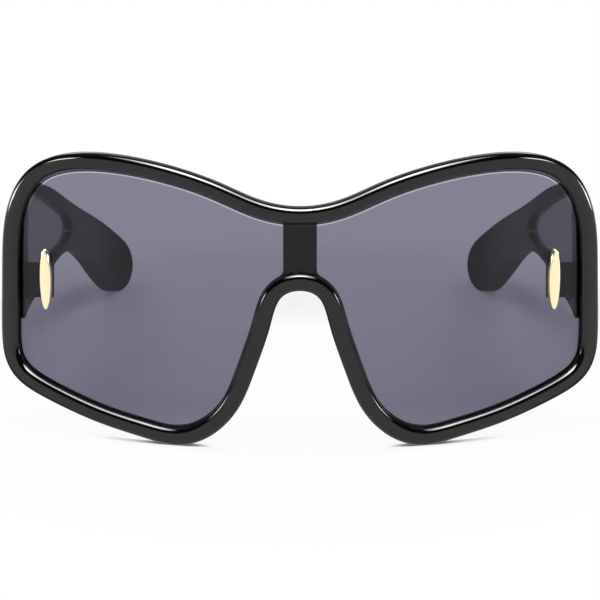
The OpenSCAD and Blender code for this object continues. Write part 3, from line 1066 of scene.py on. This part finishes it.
@dataclass
class ShieldLens:
    """The one-piece lens; along the rim its face has a painted dark band, standing in for the rim's shade,
    and then a painted pale highlight line where the edge faces up.
    """

    sizes: Sizes
    overhang: float = 0.3
    flat_in: float = 0.25
    facing_from: float = 0.1
    facing_over: float = 0.4
    half_reach: float = 74
    # rows in from the rim with their painted light: -1 is painted shade under the rim, 1 a painted
    # highlight, faded where the edge doesn't face up
    edge_rows: Sequence[Pair] = ((0, -1), (0.2, -1), (0.25, 0.3), (0.3, 1), (0.46, 1), (0.68, 0))

    def build(self, finishes: Finishes) -> Object:
        """Builds the lens.

        Args:
            finishes: the finishes.

        Returns:
            The lens.
        """
        s = self.sizes
        loop, width = OUTLINE.loop(), OUTLINE.widths()
        upper = -inward(loop)[:, 1]
        start = width + self.overhang * np.clip(upper, 0, 1)
        edge = s.rim_wall + s.fit_gap
        rows = [(edge, s.lens_t), (edge, 0), (width - self.flat_in, 0)]
        toned = len(rows)
        rows += [(start + way, 0) for way, _ in self.edge_rows]
        n = len(loop)
        points = np.vstack([np.c_[inset(loop, d), np.full(n, depth)] for d, depth in rows])
        # how far the edge faces up; the painted highlight follows it
        facing = np.clip((upper - self.facing_from) / self.facing_over, 0, 1)
        mesh = bpy.data.meshes.new("shield_lens_clear")
        with open_mesh(mesh) as bm:
            layer = bm.verts.layers.float.new("edge_tone")
            dots = [bm.verts.new(p) for p in points]
            for i, (_, tone) in enumerate(self.edge_rows, toned):
                for k in range(n):
                    dots[i * n + k][layer] = tone if tone < 0 else tone * facing[k]
            tube = walls(len(rows), n) + ends(len(rows), n)
            made = [bm.faces.new([dots[j] for j in face]) for face in tube]
            bmesh.ops.triangulate(bm, faces=made[-2:])
        wrap_mesh(mesh, self.half_reach)
        mesh.transform(STANCE.front())
        sharpen(mesh, 50)
        thing = add_object("shield_lens_clear", mesh)
        weigh_normals(thing)
        settle(thing)
        mount(thing, "front", finishes, "smoke_lens", "shield_lens")
        return thing


@dataclass
class RearFrame:
    """The rear frame: a wrapped plate with two apertures, the bridge bar, end pieces and nose pads."""

    sizes: Sizes
    rounding: float = 0.32
    corner_r: float = 1.6
    half_reach: float = 72
    bore_turns: int = 32
    bore_over: float = 2
    block_rows: int = 9
    block_rounding: float = 0.35
    root_rounding: float = 0.1
    root_start: float = 1
    root_sink: float = 0.02
    pad_turns: int = 13
    pad_over: float = 0.2
    pad_low: float = 0.02
    pad_root: float = 0.4
    pad_fullness: float = 0.55
    pad_taper: float = 0.35
    pad_walls: Pair = (0.08, 0.84)

    def build(self, finishes: Finishes) -> Object:
        """Builds the rear frame as one piece.

        Args:
            finishes: the finishes.

        Returns:
            The rear frame.
        """
        parts = [self.plate(), *self.nose_pads()]
        for side in Side:
            parts.extend(self.end_piece(side))
        thing = add_object("rear_frame_satin", join_meshes("rear_frame_satin", parts))
        mount(thing, "front", finishes, "satin_black", "rear_frame")
        return thing

    def plate(self) -> Mesh:
        """The wrapped plate with its apertures and the counterbores of the screws."""
        s = self.sizes
        loop = OUTLINE.loop()
        opening = inset(loop, OUTLINE.widths() - s.aperture_back)
        right = round_corners(cut_loop(opening, (s.bridge_w / 2, 0), (1, 0)), self.corner_r)
        loops = [inset(loop, s.rear_step), right, right[::-1] * (-1, 1)]
        mesh = flat_plate("rear_plate", loops, s.rear_t - s.fit_gap, self.rounding)
        wrap_mesh(mesh, self.half_reach, s.lens_t + s.fit_gap)
        thing = add_object("rear_plate", mesh)
        drill = add_object("rear_drill", self.bores())
        cut_away(thing, drill)
        weigh_normals(thing)
        plate = self.take(thing, STANCE.front())
        bpy.data.objects.remove(drill)
        return plate

    def bores(self) -> Mesh:
        """Short cylinders that stand where the heads of the rear screws are let in."""
        s, n = self.sizes, self.bore_turns
        turn = np.linspace(0, 2 * math.pi, n, endpoint=False)
        ring = np.stack([np.cos(turn), np.zeros(n), np.sin(turn)], 1) * (s.head_d / 2 + s.fit_gap)
        bottom, top = ring - (0, s.head_seat, 0), ring + (0, self.bore_over, 0)
        points, faces = [], []
        for k, place in enumerate(screw_places(s)):
            points += [bottom + place, top + place]
            faces += walls(2, n, 2 * n * k) + ends(2, n, 2 * n * k)
        return make_mesh("rear_drill", np.vstack(points) * MM, faces)

    def take(self, thing: Object, place: Matrix) -> Mesh:
        """The settled mesh of a helper object, put in its place."""
        mesh = settle(thing).data
        bpy.data.objects.remove(thing)
        mesh.transform(place)
        return mesh

    def end_piece(self, side: Side) -> list[Mesh]:
        """The block behind the lens that carries a hinge, and its root in the plate."""
        s = self.sizes
        start = s.temple_u - s.lug_reach
        end = start + s.lug_reach
        root_end = end + s.temple_inset - s.rim_wall
        return [
            self.block(side, start, end - s.lug_clear, s.hinge_w - s.seat, self.block_rounding),
            self.block(side, start + self.root_start, root_end, None, self.root_rounding),
        ]

    def block(self, side: Side, first: float, last: float, back: float | None, rounding: float) -> Mesh:
        """One block of an end piece, whose front follows the wrap.

        Args:
            side: the side that it is on.
            first: where it starts across.
            last: where it ends across.
            back: where its back lies, or None where that follows the wrap too.
            rounding: rounding of its edges.

        Returns:
            The block in its place.
        """
        s = self.sizes
        points = []
        for u in np.linspace(first, last, self.block_rows):
            for v, deep in ((-1, False), (1, False), (1, True), (-1, True)):
                height = s.lug_z + v * s.lug_h / 2
                w = s.along(u, height, s.lens_t + s.fit_gap)
                if deep:
                    w = s.along(u, height, s.shell_d) - self.root_sink if back is None else back
                points.append((side.value * u, w, height))
        faces = ends(self.block_rows, 4) + walls(self.block_rows, 4)
        thing = add_object("end_piece", make_mesh("end_piece", np.array(points) * MM, faces))
        bevel_edges(thing, rounding)
        weigh_normals(thing)
        return self.take(thing, STANCE.temples())

    def nose_pads(self) -> list[Mesh]:
        """Two moulded pads that stand back from the sides of the nose arch, thinner to their crest."""
        s = self.sizes
        loop = OUTLINE.loop(16)
        outer = inset(loop, s.rear_step)
        normals = inward(loop)
        middle = (s.pad_share - s.arch_share) * s.front_h
        radius = (s.pad_h**2 / 4 + s.pad_reach**2) / (2 * s.pad_reach)
        reach = s.pad_h / 2 + self.pad_over
        picked = [i for i in range(len(loop) // 4, len(loop) // 2)
                  if outer[i, 0] < s.front_w / 8 and abs(outer[i, 1] - middle) < reach]
        points = []
        for i in picked:
            rise = np.sqrt(max(radius**2 - (outer[i, 1] - middle) ** 2, 0)) - (radius - s.pad_reach)
            rise = max(rise, self.pad_low)
            for angle in np.linspace(0, math.pi, self.pad_turns):
                across = (1 - math.cos(angle)) / 2
                crest = math.sin(angle) ** self.pad_fullness
                thin = s.pad_t * (self.pad_walls[0] + self.pad_walls[1] * across)
                pull = self.pad_taper * crest * rise / s.pad_reach
                spot = outer[i] + normals[i] * (thin * (1 - pull) + pull * s.pad_t / 2)
                back = crest * (rise + self.pad_root) - self.pad_root
                points.append((spot[0], float(s.bend(spot[0], s.shell_d)) + back, spot[1]))
        faces = walls(len(picked), self.pad_turns) + ends(len(picked), self.pad_turns)
        meshes = []
        for side in Side:
            mesh = make_mesh("nose_pad", np.array(points) * (side.value, 1, 1) * MM, faces)
            mesh.transform(STANCE.front())
            meshes.append(mesh)
        return meshes


def screw_places(sizes: Sizes) -> list[tuple[float, float, float]]:
    """The places of the rear screws in the front's frame, at the back of the rear frame."""
    steps = 4
    line = inset(OUTLINE.loop(steps), sizes.rim_wall / 2)
    places = []
    for share in SCREW_SHARES:
        x, z = line[round(share * OUTLINE.half_count * steps)]
        for side in Side:
            places.append((side.value * x, float(sizes.bend(x, sizes.shell_d)), z))
    return places


@dataclass
class RearScrews:
    """Eight small slotted screws that clamp the rear frame to the rim."""

    sizes: Sizes
    slot_w: float = 0.32
    slot_deep: float = 0.28
    slot_over: float = 2.4
    turns: int = 32
    turn_each: float = 1.1
    edge: float = 0.03
    shape: Sequence[Pair] = ((0, 0), (1, 0), (1, 0.72), (0.93, 0.9), (0.6, 0.98), (0, 1))

    def build(self, finishes: Finishes) -> Object:
        """Sets one head on every place with a tree of geometry nodes.

        Args:
            finishes: the finishes.

        Returns:
            The screws as one piece.
        """
        s = self.sizes
        head = self.head()
        mesh = bpy.data.meshes.new("rear_screws")
        mesh.from_pydata([(x * MM, (y - s.head_seat) * MM, z * MM) for x, y, z in screw_places(s)], [], [])
        thing = add_object("rear_screws", mesh)
        work = NodeWork("screws_on_places", {"Screw": head, "Turn": (-math.pi / 2, 0.0, 0.0)})
        info = work.node("GeometryNodeObjectInfo", work.given("Screw"))
        spin = work.math("MULTIPLY", work.node("GeometryNodeInputIndex").outputs[0], self.turn_each)
        lay = work.node("FunctionNodeEulerToRotation", work.given("Turn")).outputs[0]
        twist = work.node("FunctionNodeAxisAngleToRotation", (0.0, 0.0, 1.0), spin).outputs[0]
        turned = work.node("FunctionNodeRotateRotation", lay, twist, rotation_space="LOCAL").outputs[0]
        placed = work.fill(work.node("GeometryNodeInstanceOnPoints"), Points=work.start.outputs[0],
                           Instance=info.outputs["Geometry"], Rotation=turned)
        work.run(thing, placed.outputs[0], finishes.materials["dark_steel"])
        bpy.data.objects.remove(head)
        thing.data.transform(STANCE.front())
        mount(thing, "front", finishes, "dark_steel", "shell_screws")
        return thing

    def head(self) -> Object:
        """A domed head with a slot, whose seat lies at the origin and which faces along z."""
        s, n = self.sizes, self.turns
        r, t = s.head_d / 2, s.head_t
        points = []
        for wide, high in self.shape:
            for k in range(n):
                a = 2 * math.pi * k / n
                points.append((wide * r * math.cos(a), wide * r * math.sin(a), high * t))
        mesh = make_mesh("screw_head", np.array(points) * MM, walls(len(self.shape), n))
        head = add_object("screw_head", mesh)
        slot_mesh = bpy.data.meshes.new("slot")
        with open_mesh(slot_mesh) as bm:
            bmesh.ops.create_cube(bm, size=1)
        size = np.array((self.slot_over * r, self.slot_w, 2 * self.slot_deep)) * MM
        move_points(slot_mesh, lambda p: p * size + (0, 0, t * MM))
        cutter = add_object("slot", slot_mesh)
        cut_away(head, cutter)
        bevel_edges(head, self.edge, segments=2, angle=50)
        settle(head)
        sharpen(head.data, 35)
        bpy.data.objects.remove(cutter)
        return head


@dataclass
class GoldOval:
    """A long gold oval that lies on the lens, with a rounded bevel and a slight crown."""

    sizes: Sizes
    side: Side
    turns: int = 96
    crown: float = 0.03
    wall: float = 0.45
    bevel_steps: int = 8

    def profile(self) -> list[Pair]:
        """Steps in from the edge, each with its height as a share of the thickness."""
        steps = [(0.0, 0.0), (0.0, self.wall)]
        for a in np.linspace(0, math.pi / 2, self.bevel_steps)[1:]:
            steps.append((self.sizes.oval_bevel * (1 - math.cos(a)),
                          self.wall + (1 - self.wall - self.crown) * math.sin(a)))
        half = self.sizes.oval_w / 2
        return steps + [(half * k, 1 - self.crown * (1 - k) ** 2 * 2) for k in (0.5, 0.7, 0.9)]

    def build(self, finishes: Finishes) -> Object:
        """Builds the oval on its side.

        Args:
            finishes: the finishes.

        Returns:
            The oval.
        """
        s, n = self.sizes, self.turns
        a = math.radians(s.panto)
        x = s.front_w / 2 - s.oval_inset
        z = s.lug_z / math.cos(a) - float(s.bend(x, 0)) * math.tan(a)
        profile = self.profile()
        points = []
        for inner, rise in profile:
            wide, high = s.oval_w / 2 - inner, s.oval_h / 2 - inner
            for t in np.linspace(0, 2 * math.pi, n, endpoint=False):
                points.append((wide * math.cos(t), -s.fit_gap - rise * s.oval_t, high * math.sin(t)))
        faces = walls(len(profile), n)
        for first, depth in ((len(points) - n, s.fit_gap + s.oval_t), (0, s.fit_gap)):
            faces += [(first + k, first + (k + 1) % n, len(points)) for k in range(n)]
            points.append((0, -depth, 0))
        mesh = make_mesh("gold_oval", np.array(points) * MM, faces)
        place = Matrix.Translation(Vector((x, float(s.bend(x, 0)), z)) * MM)
        mesh.transform(place @ Matrix.Rotation(math.asin(x / s.wrap_r), 4, "Z"))
        mesh.transform(STANCE.front())
        if self.side is Side.LEFT:
            mesh.transform(Matrix.Diagonal((-1, 1, 1, 1)))
            mesh.flip_normals()
        thing = add_object("gold_oval_plate_" + self.side.word, mesh)
        sharpen(mesh, 50)
        mount(thing, "front", finishes, "gold", "gold_oval_" + self.side.word)
        return thing


# ---------------------------------------------------------------- the temples


class TemplePlan:
    """The plan of a temple: where its faces lie across, at each place along it."""

    DEEPEST = 6  # millimetres out from the inner face
    LEVELS = 13

    def __init__(self, sizes: Sizes) -> None:
        """Works out the path of the inner face and its outward directions.

        Args:
            sizes: the sizes of the glasses.
        """
        shares = np.array(PLAN_SHARES, float)
        ring = np.stack([sizes.temple_u - shares[:, 1] * sizes.toe_in,
                         sizes.hinge_w + shares[:, 0] * sizes.temple_len], 1)
        self.path = path_curve(ring, 16)
        t = np.gradient(self.path, axis=0)
        n = np.stack([t[:, 1], -t[:, 0]], 1)
        self.out = n / np.linalg.norm(n, axis=1)[:, None]

    def across(self, w: np.ndarray, depth: np.ndarray) -> np.ndarray:
        """Where a point at a place along and at a depth from the inner face lies across.

        Args:
            w: places along the temple.
            depth: distances from the inner face, outwards.

        Returns:
            The distance of each point from the middle of the glasses.
        """
        levels = np.linspace(0, self.DEEPEST, self.LEVELS)
        lines = (self.path + level * self.out for level in levels)
        table = np.array([np.interp(w, line[:, 1], line[:, 0]) for line in lines])
        k = np.clip(np.searchsorted(levels, depth) - 1, 0, len(levels) - 2)
        share = (depth - levels[k]) / (levels[1] - levels[0])
        rows = np.arange(len(w))
        return table[k, rows] * (1 - share) + table[k + 1, rows] * share


PLAN = TemplePlan(SIZES)


@dataclass
class Temple:
    """A wide temple with its window, and the side lens in it."""

    sizes: Sizes
    rounding: float = 0.6
    front_r: float = 0.8
    blend_len: float = 3.6
    pane_rounding: float = 0.12

    def side_view(self, shares: Sequence[Pair], steps: int = 8) -> np.ndarray:
        """A loop of the side view in the temples' frame, clockwise."""
        s = self.sizes
        points = [(s.hinge_w + a * s.temple_len, s.temple_low + b * s.temple_h) for a, b in shares]
        return ring_curve(points, steps)

    def front_face(self, u: np.ndarray, v: np.ndarray) -> np.ndarray:
        """Where the temple's front end lies along, at a place across and a height."""
        return self.sizes.along(u, v, self.sizes.shell_d + self.sizes.butt_gap)

    def place(self, p: np.ndarray) -> np.ndarray:
        """Bends flat points (along, height, depth from the inner face) into the temple's shape."""
        s = self.sizes
        w, v, depth = p[:, 0].copy(), p[:, 1], p[:, 2]
        start = self.front_face(np.full(len(w), s.temple_u), v)
        slant = self.front_face(PLAN.across(w, depth), v) - start
        fade = np.clip(1 - (w - start) / self.blend_len, 0, 1)
        w += slant * fade * fade * (3 - 2 * fade)
        return np.stack([PLAN.across(w, depth), w, v], 1) * MM

    def build(self, finishes: Finishes) -> list[Object]:
        """Builds both temples and both side lenses.

        Args:
            finishes: the finishes.

        Returns:
            The four pieces.
        """
        made = []
        for name, mesh, slot, node in (
            ("temple_gloss_", self.arm(), "gloss_black", "temple_"),
            ("side_lens_clear_", self.pane(), "smoke_lens", "side_lens_"),
        ):
            thing = add_object(name + "right", mesh)
            weigh_normals(thing)
            settle(thing)
            thing.data.transform(STANCE.temples())
            other = mirror_copy(thing, name + "left")
            mount(thing, "temple_right", finishes, slot, node + "right")
            mount(other, "temple_left", finishes, slot, node + "left")
            made += [thing, other]
        return made

    def arm(self) -> Mesh:
        """The right temple's arm, with its window cut and its edges rounded."""
        s = self.sizes
        a = math.radians(s.panto)
        edge = self.side_view(TEMPLE_SHARES)
        on_line = (float(self.front_face(s.temple_u, 0.0)), 0)
        edge = cut_loop(edge, on_line, (math.cos(a), math.sin(a)))
        edge = round_corners(edge, self.front_r)
        window = self.side_view(WINDOW_SHARES)
        mesh = flat_plate("temple_arm", [edge, window], s.temple_t, self.rounding, steps=4)
        return self.curved(mesh, edge)

    def pane(self) -> Mesh:
        """The right side lens, which reaches into the groove round the window."""
        s = self.sizes
        edge = inset(self.side_view(WINDOW_SHARES), -s.groove)
        mesh = flat_plate("side_pane", [edge], s.side_lens_t, self.pane_rounding, steps=1)
        return self.curved(mesh, edge, s.temple_t - s.side_lip - s.side_lens_t)

    def curved(self, mesh: Mesh, edge: np.ndarray, start: float = 0) -> Mesh:
        """A flat plate in the temple's curve.

        Args:
            mesh: the flat plate.
            edge: its outer loop.
            start: its distance from the inner face.

        Returns:
            The same mesh, curved.
        """
        first, last = math.floor(edge[:, 0].min()) + 1, edge[:, 0].max()
        slice_mesh(mesh, np.arange(first, last, TEMPLE_SLICE))
        move_points(mesh, lambda p: self.place(p + (0, 0, start)))
        tidy_mesh(mesh)
        return mesh


# ---------------------------------------------------------------- carried-over solids


@dataclass
class Hardware:
    """The hinges, their screws and the studs, which keep their solids and get crisp fine edges."""

    edge: float = 0.06
    seam: float = 1e-6
    slots: Sequence[tuple[str, str]] = (
        ("front_hinge_screws", "dark_steel"), ("temple_hinge_screws", "dark_steel"),
        ("front_hinge", "hinge_steel"), ("temple_hinge", "hinge_steel"),
        ("hinge_screw", "dark_steel"), ("oval_stud", "gold"),
    )

    def build(self, finishes: Finishes) -> None:
        """Dresses every solid that still shows.

        Args:
            finishes: the finishes.
        """
        for name, node in frame["nodes"].items():
            if node.hide_render:
                continue
            slot = next(slot for start, slot in self.slots if name.startswith(start))
            finishes.dress(node, slot)
            node.modifiers.new("closed seams", "WELD").merge_threshold = self.seam
            bevel_edges(node, self.edge, segments=2, angle=35)
            LOG.info("%s keeps its solid, in %s", name, slot)


# ---------------------------------------------------------------- the studio


@dataclass(frozen=True)
class SoftBox:
    """A plain rectangular lamp that faces the glasses: angles in degrees and sizes in metres."""

    name: str
    azimuth: float
    elevation: float
    distance: float
    width: float
    height: float
    brightness: float
    glossy: bool = True
    diffuse: bool = True
    fade: float = 0.0

    def build(self, aim: Vector) -> None:
        """Adds the lamp.

        Args:
            aim: the point that it faces.
        """
        lamp = bpy.data.lights.new(self.name, "AREA")
        lamp.shape = "RECTANGLE"
        lamp.size, lamp.size_y = self.width, self.height
        lamp.energy = self.brightness * math.pi * self.width * self.height
        thing = add_object(self.name, lamp)
        az, el = math.radians(self.azimuth), math.radians(self.elevation)
        away = Vector((math.sin(az) * math.cos(el), -math.cos(az) * math.cos(el), math.sin(el)))
        thing.location = aim + away * self.distance
        thing.rotation_euler = away.to_track_quat("Z", "Y").to_euler()
        thing.visible_camera = thing.visible_transmission = False
        thing.visible_glossy = self.glossy
        thing.visible_diffuse = self.diffuse
        if self.fade:
            self.soften(lamp)

    def soften(self, lamp: bpy.types.Light) -> None:
        """Lets the lamp fade over a share of its longer side towards both ends."""
        lamp.use_nodes = True
        work = NodeTree(lamp.node_tree)
        spot = work.parts(work.node("ShaderNodeNewGeometry").outputs["Parametric"])
        from_end = work.math("PINGPONG", spot["x" if self.width > self.height else "y"], 0.5)
        work.fill(lamp.node_tree.nodes["Emission"], Strength=work.span(from_end, 0, 1, 0, self.fade))


def both_sides(name: str, azimuth: float, *sizes: float, **looks: object) -> tuple[SoftBox, ...]:
    """The same lamp to the left and to the right."""
    return tuple(SoftBox(f"{side.word}_{name}", side.value * azimuth, *sizes, **looks) for side in Side)


@dataclass
class Studio:
    """Pale floor, soft light and a camera at the photograph's angle.

    Distances are in metres. A pair says where a change starts and where it ends. A mix is how far the
    floor shows as plain white, and a gloss is how bright something is in a reflection.
    """

    camera_distance: float = 0.48
    view_width: float = 0.1449
    sensor: float = 36
    ambient: float = 0.42
    floor_reach: float = 4.0
    floor_drop: float = 0.00002
    paper_scale: float = 180
    paper_dark: Colour = (0.9, 0.9, 0.9)
    paper_pale: Colour = (0.93, 0.93, 0.93)
    floor_mix: float = 0.4
    front_mix: float = 0.94
    open_reach: float = 0.08
    mix_turn: Pair = (-0.06, -0.035)
    far_turn: Pair = (0.08, 0.13)
    touch_bend: float = 3.1
    touch_start: Pair = (-0.0708, -0.0698)
    touch_end: Pair = (-0.0688, -0.0678)
    touch_shares: Sequence[Pair] = (
        (0.021, 0), (0.0255, 0.7), (0.0285, 1), (0.034, 1), (0.0365, 0.75), (0.041, 0.46), (0.047, 0.28),
        (0.053, 0),
    )
    side_shade: float = 0.65
    side_turn: Pair = (0.052, 0.072)
    floor_gloss: float = 1.0
    shade_gloss: float = 0.25
    under_aside: Pair = (0.09, 0.2)
    under_back: Pair = (-0.075, -0.05)
    room_gloss: float = 0.03
    back_gloss: float = 0.1
    room_turn: Pair = (-0.2, 0.3)
    low_up: Pair = (0.05, 0.2)
    low_back: Pair = (0.1, 0.5)
    lamps: Sequence[SoftBox] = (
        *both_sides("high_softbox", 90, 62, 1.2, 0.55, 0.55, 4.94, glossy=False),
        SoftBox("top_strip", 180, 95, 1.05, 1.05, 0.8, 34, diffuse=False, fade=0.5),
        *both_sides("strip", 83, -3, 1.0, 0.26, 0.18, 26, diffuse=False),
        *both_sides("panel", 65, 16, 1.0, 0.2, 0.32, 30, diffuse=False, fade=0.5),
    )

    def build(self) -> None:
        """Builds the camera, floor, world and lamps."""
        scene = bpy.context.scene
        scene.view_settings.view_transform = "Standard"
        data = bpy.data.cameras.new("camera")
        data.sensor_width = self.sensor
        data.lens = self.sensor * self.camera_distance / self.view_width
        data.clip_start = 0.01
        camera = add_object("camera", data)
        camera.location = STANCE.temples() @ Vector((0, -self.camera_distance, 0))
        camera.rotation_euler = (math.pi / 2 - STANCE.tilt, 0, 0)
        scene.camera = camera
        for lamp in self.lamps:
            lamp.build(STANCE.origin)
        self.floor()
        self.world()

    def floor(self) -> None:
        """A wide pale floor that keeps the shadow and turns plain white further away."""
        reach, drop = self.floor_reach, -self.floor_drop
        corners = [(x * reach, y * reach, drop) for x, y in ((-1, -1), (1, -1), (1, 1), (-1, 1))]
        mesh = bpy.data.meshes.new("floor")
        mesh.from_pydata(corners, [], [(0, 1, 2, 3)])
        thing = add_object("floor", mesh)
        s = Shading("pale_floor")
        paper = s.blend(s.span(s.noise(self.paper_scale), 0, 1), self.paper_dark, self.paper_pale)
        s.fill(s.surface, Base_Color=paper, Roughness=0.9, Specular_IOR_Level=0.0)
        spot = s.parts(s.place)
        aside, back = s.math("ABSOLUTE", spot["x"]), spot["y"]
        away = s.node("ShaderNodeVectorMath", s.place, operation="LENGTH").outputs["Value"]
        ray, seen, mirrored = s.rays()
        near = self.near_white(s, aside, back, ray)
        white = s.math("MAXIMUM", near, s.span(away, 0, 1, *self.far_turn))
        lit = s.mix(white, s.surface.outputs[0], s.glow(1.0))
        under = s.product(s.span(aside, 1, 0, *self.under_aside), s.span(back, 0, 1, *self.under_back))
        gloss = s.glow(s.span(under, self.floor_gloss, self.shade_gloss, 0, 1))
        plain = s.mix(seen, s.surface.outputs[0], lit)
        s.fill(s.output, Surface=s.mix(mirrored, plain, gloss))
        thing.data.materials.append(s.material)

    def near_white(self, s: Shading, aside: Socket, back: Socket, ray: Node) -> Socket:
        """How white the floor shows round the glasses, but for the shadow line where they touch it.

        Args:
            s: the floor's nodes.
            aside: a spot's distance from the middle.
            back: its distance behind the origin.
            ray: the node that tells the kinds of ray apart.

        Returns:
            A value from 0 to 1.
        """
        seen_back = s.math("MULTIPLY_ADD", ray.outputs["Is Camera Ray"], -self.open_reach, back)
        near = s.span(seen_back, self.front_mix, self.floor_mix, *self.mix_turn)
        wrapped = s.math("MULTIPLY_ADD", s.product(aside, aside), -self.touch_bend, back)
        line = s.product(s.span(wrapped, 0, 1, *self.touch_start), s.span(wrapped, 1, 0, *self.touch_end))
        touch = s.product(s.profile(aside, self.touch_shares), line)
        shaded = s.product(s.span(aside, 0, self.side_shade, *self.side_turn),
                           ray.outputs["Is Transmission Ray"])
        for darker in (touch, shaded):
            near = s.product(near, s.span(darker, 1, 0, 0, 1))
        return near

    def world(self) -> None:
        """Even light from all round; a dark room above the camera shows in the gloss alone."""
        world = bpy.data.worlds.new("studio")
        bpy.context.scene.world = world
        world.use_nodes = True
        world.node_tree.nodes.clear()
        w = NodeTree(world.node_tree)
        way = w.parts(w.node("ShaderNodeTexCoord").outputs["Generated"])
        low = w.product(w.span(way["z"], 1, 0, *self.low_up), w.span(way["y"], 1, 0, *self.low_back))
        room = w.span(way["y"], self.room_gloss, self.back_gloss, *self.room_turn)
        _, seen, mirrored = w.rays()
        strength = w.fill(w.node("ShaderNodeMix", data_type="FLOAT"), Factor=mirrored,
                          A=w.span(seen, self.ambient, 1, 0, 1), B=w.math("MAXIMUM", low, room))
        background = w.node("ShaderNodeBackground", (1, 1, 1, 1), strength.outputs[0])
        w.node("ShaderNodeOutputWorld", background.outputs[0])


def main() -> None:
    """Builds the glasses and the studio."""
    logging.basicConfig(level=logging.INFO, format="%(message)s")
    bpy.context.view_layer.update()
    finishes = Finishes()
    Studio().build()
    FrontRim(SIZES).build(finishes)
    ShieldLens(SIZES).build(finishes)
    RearFrame(SIZES).build(finishes)
    RearScrews(SIZES).build(finishes)
    for side in Side:
        GoldOval(SIZES, side).build(finishes)
    Temple(SIZES).build(finishes)
    Hardware().build(finishes)


if __name__ == "__main__":
    main()
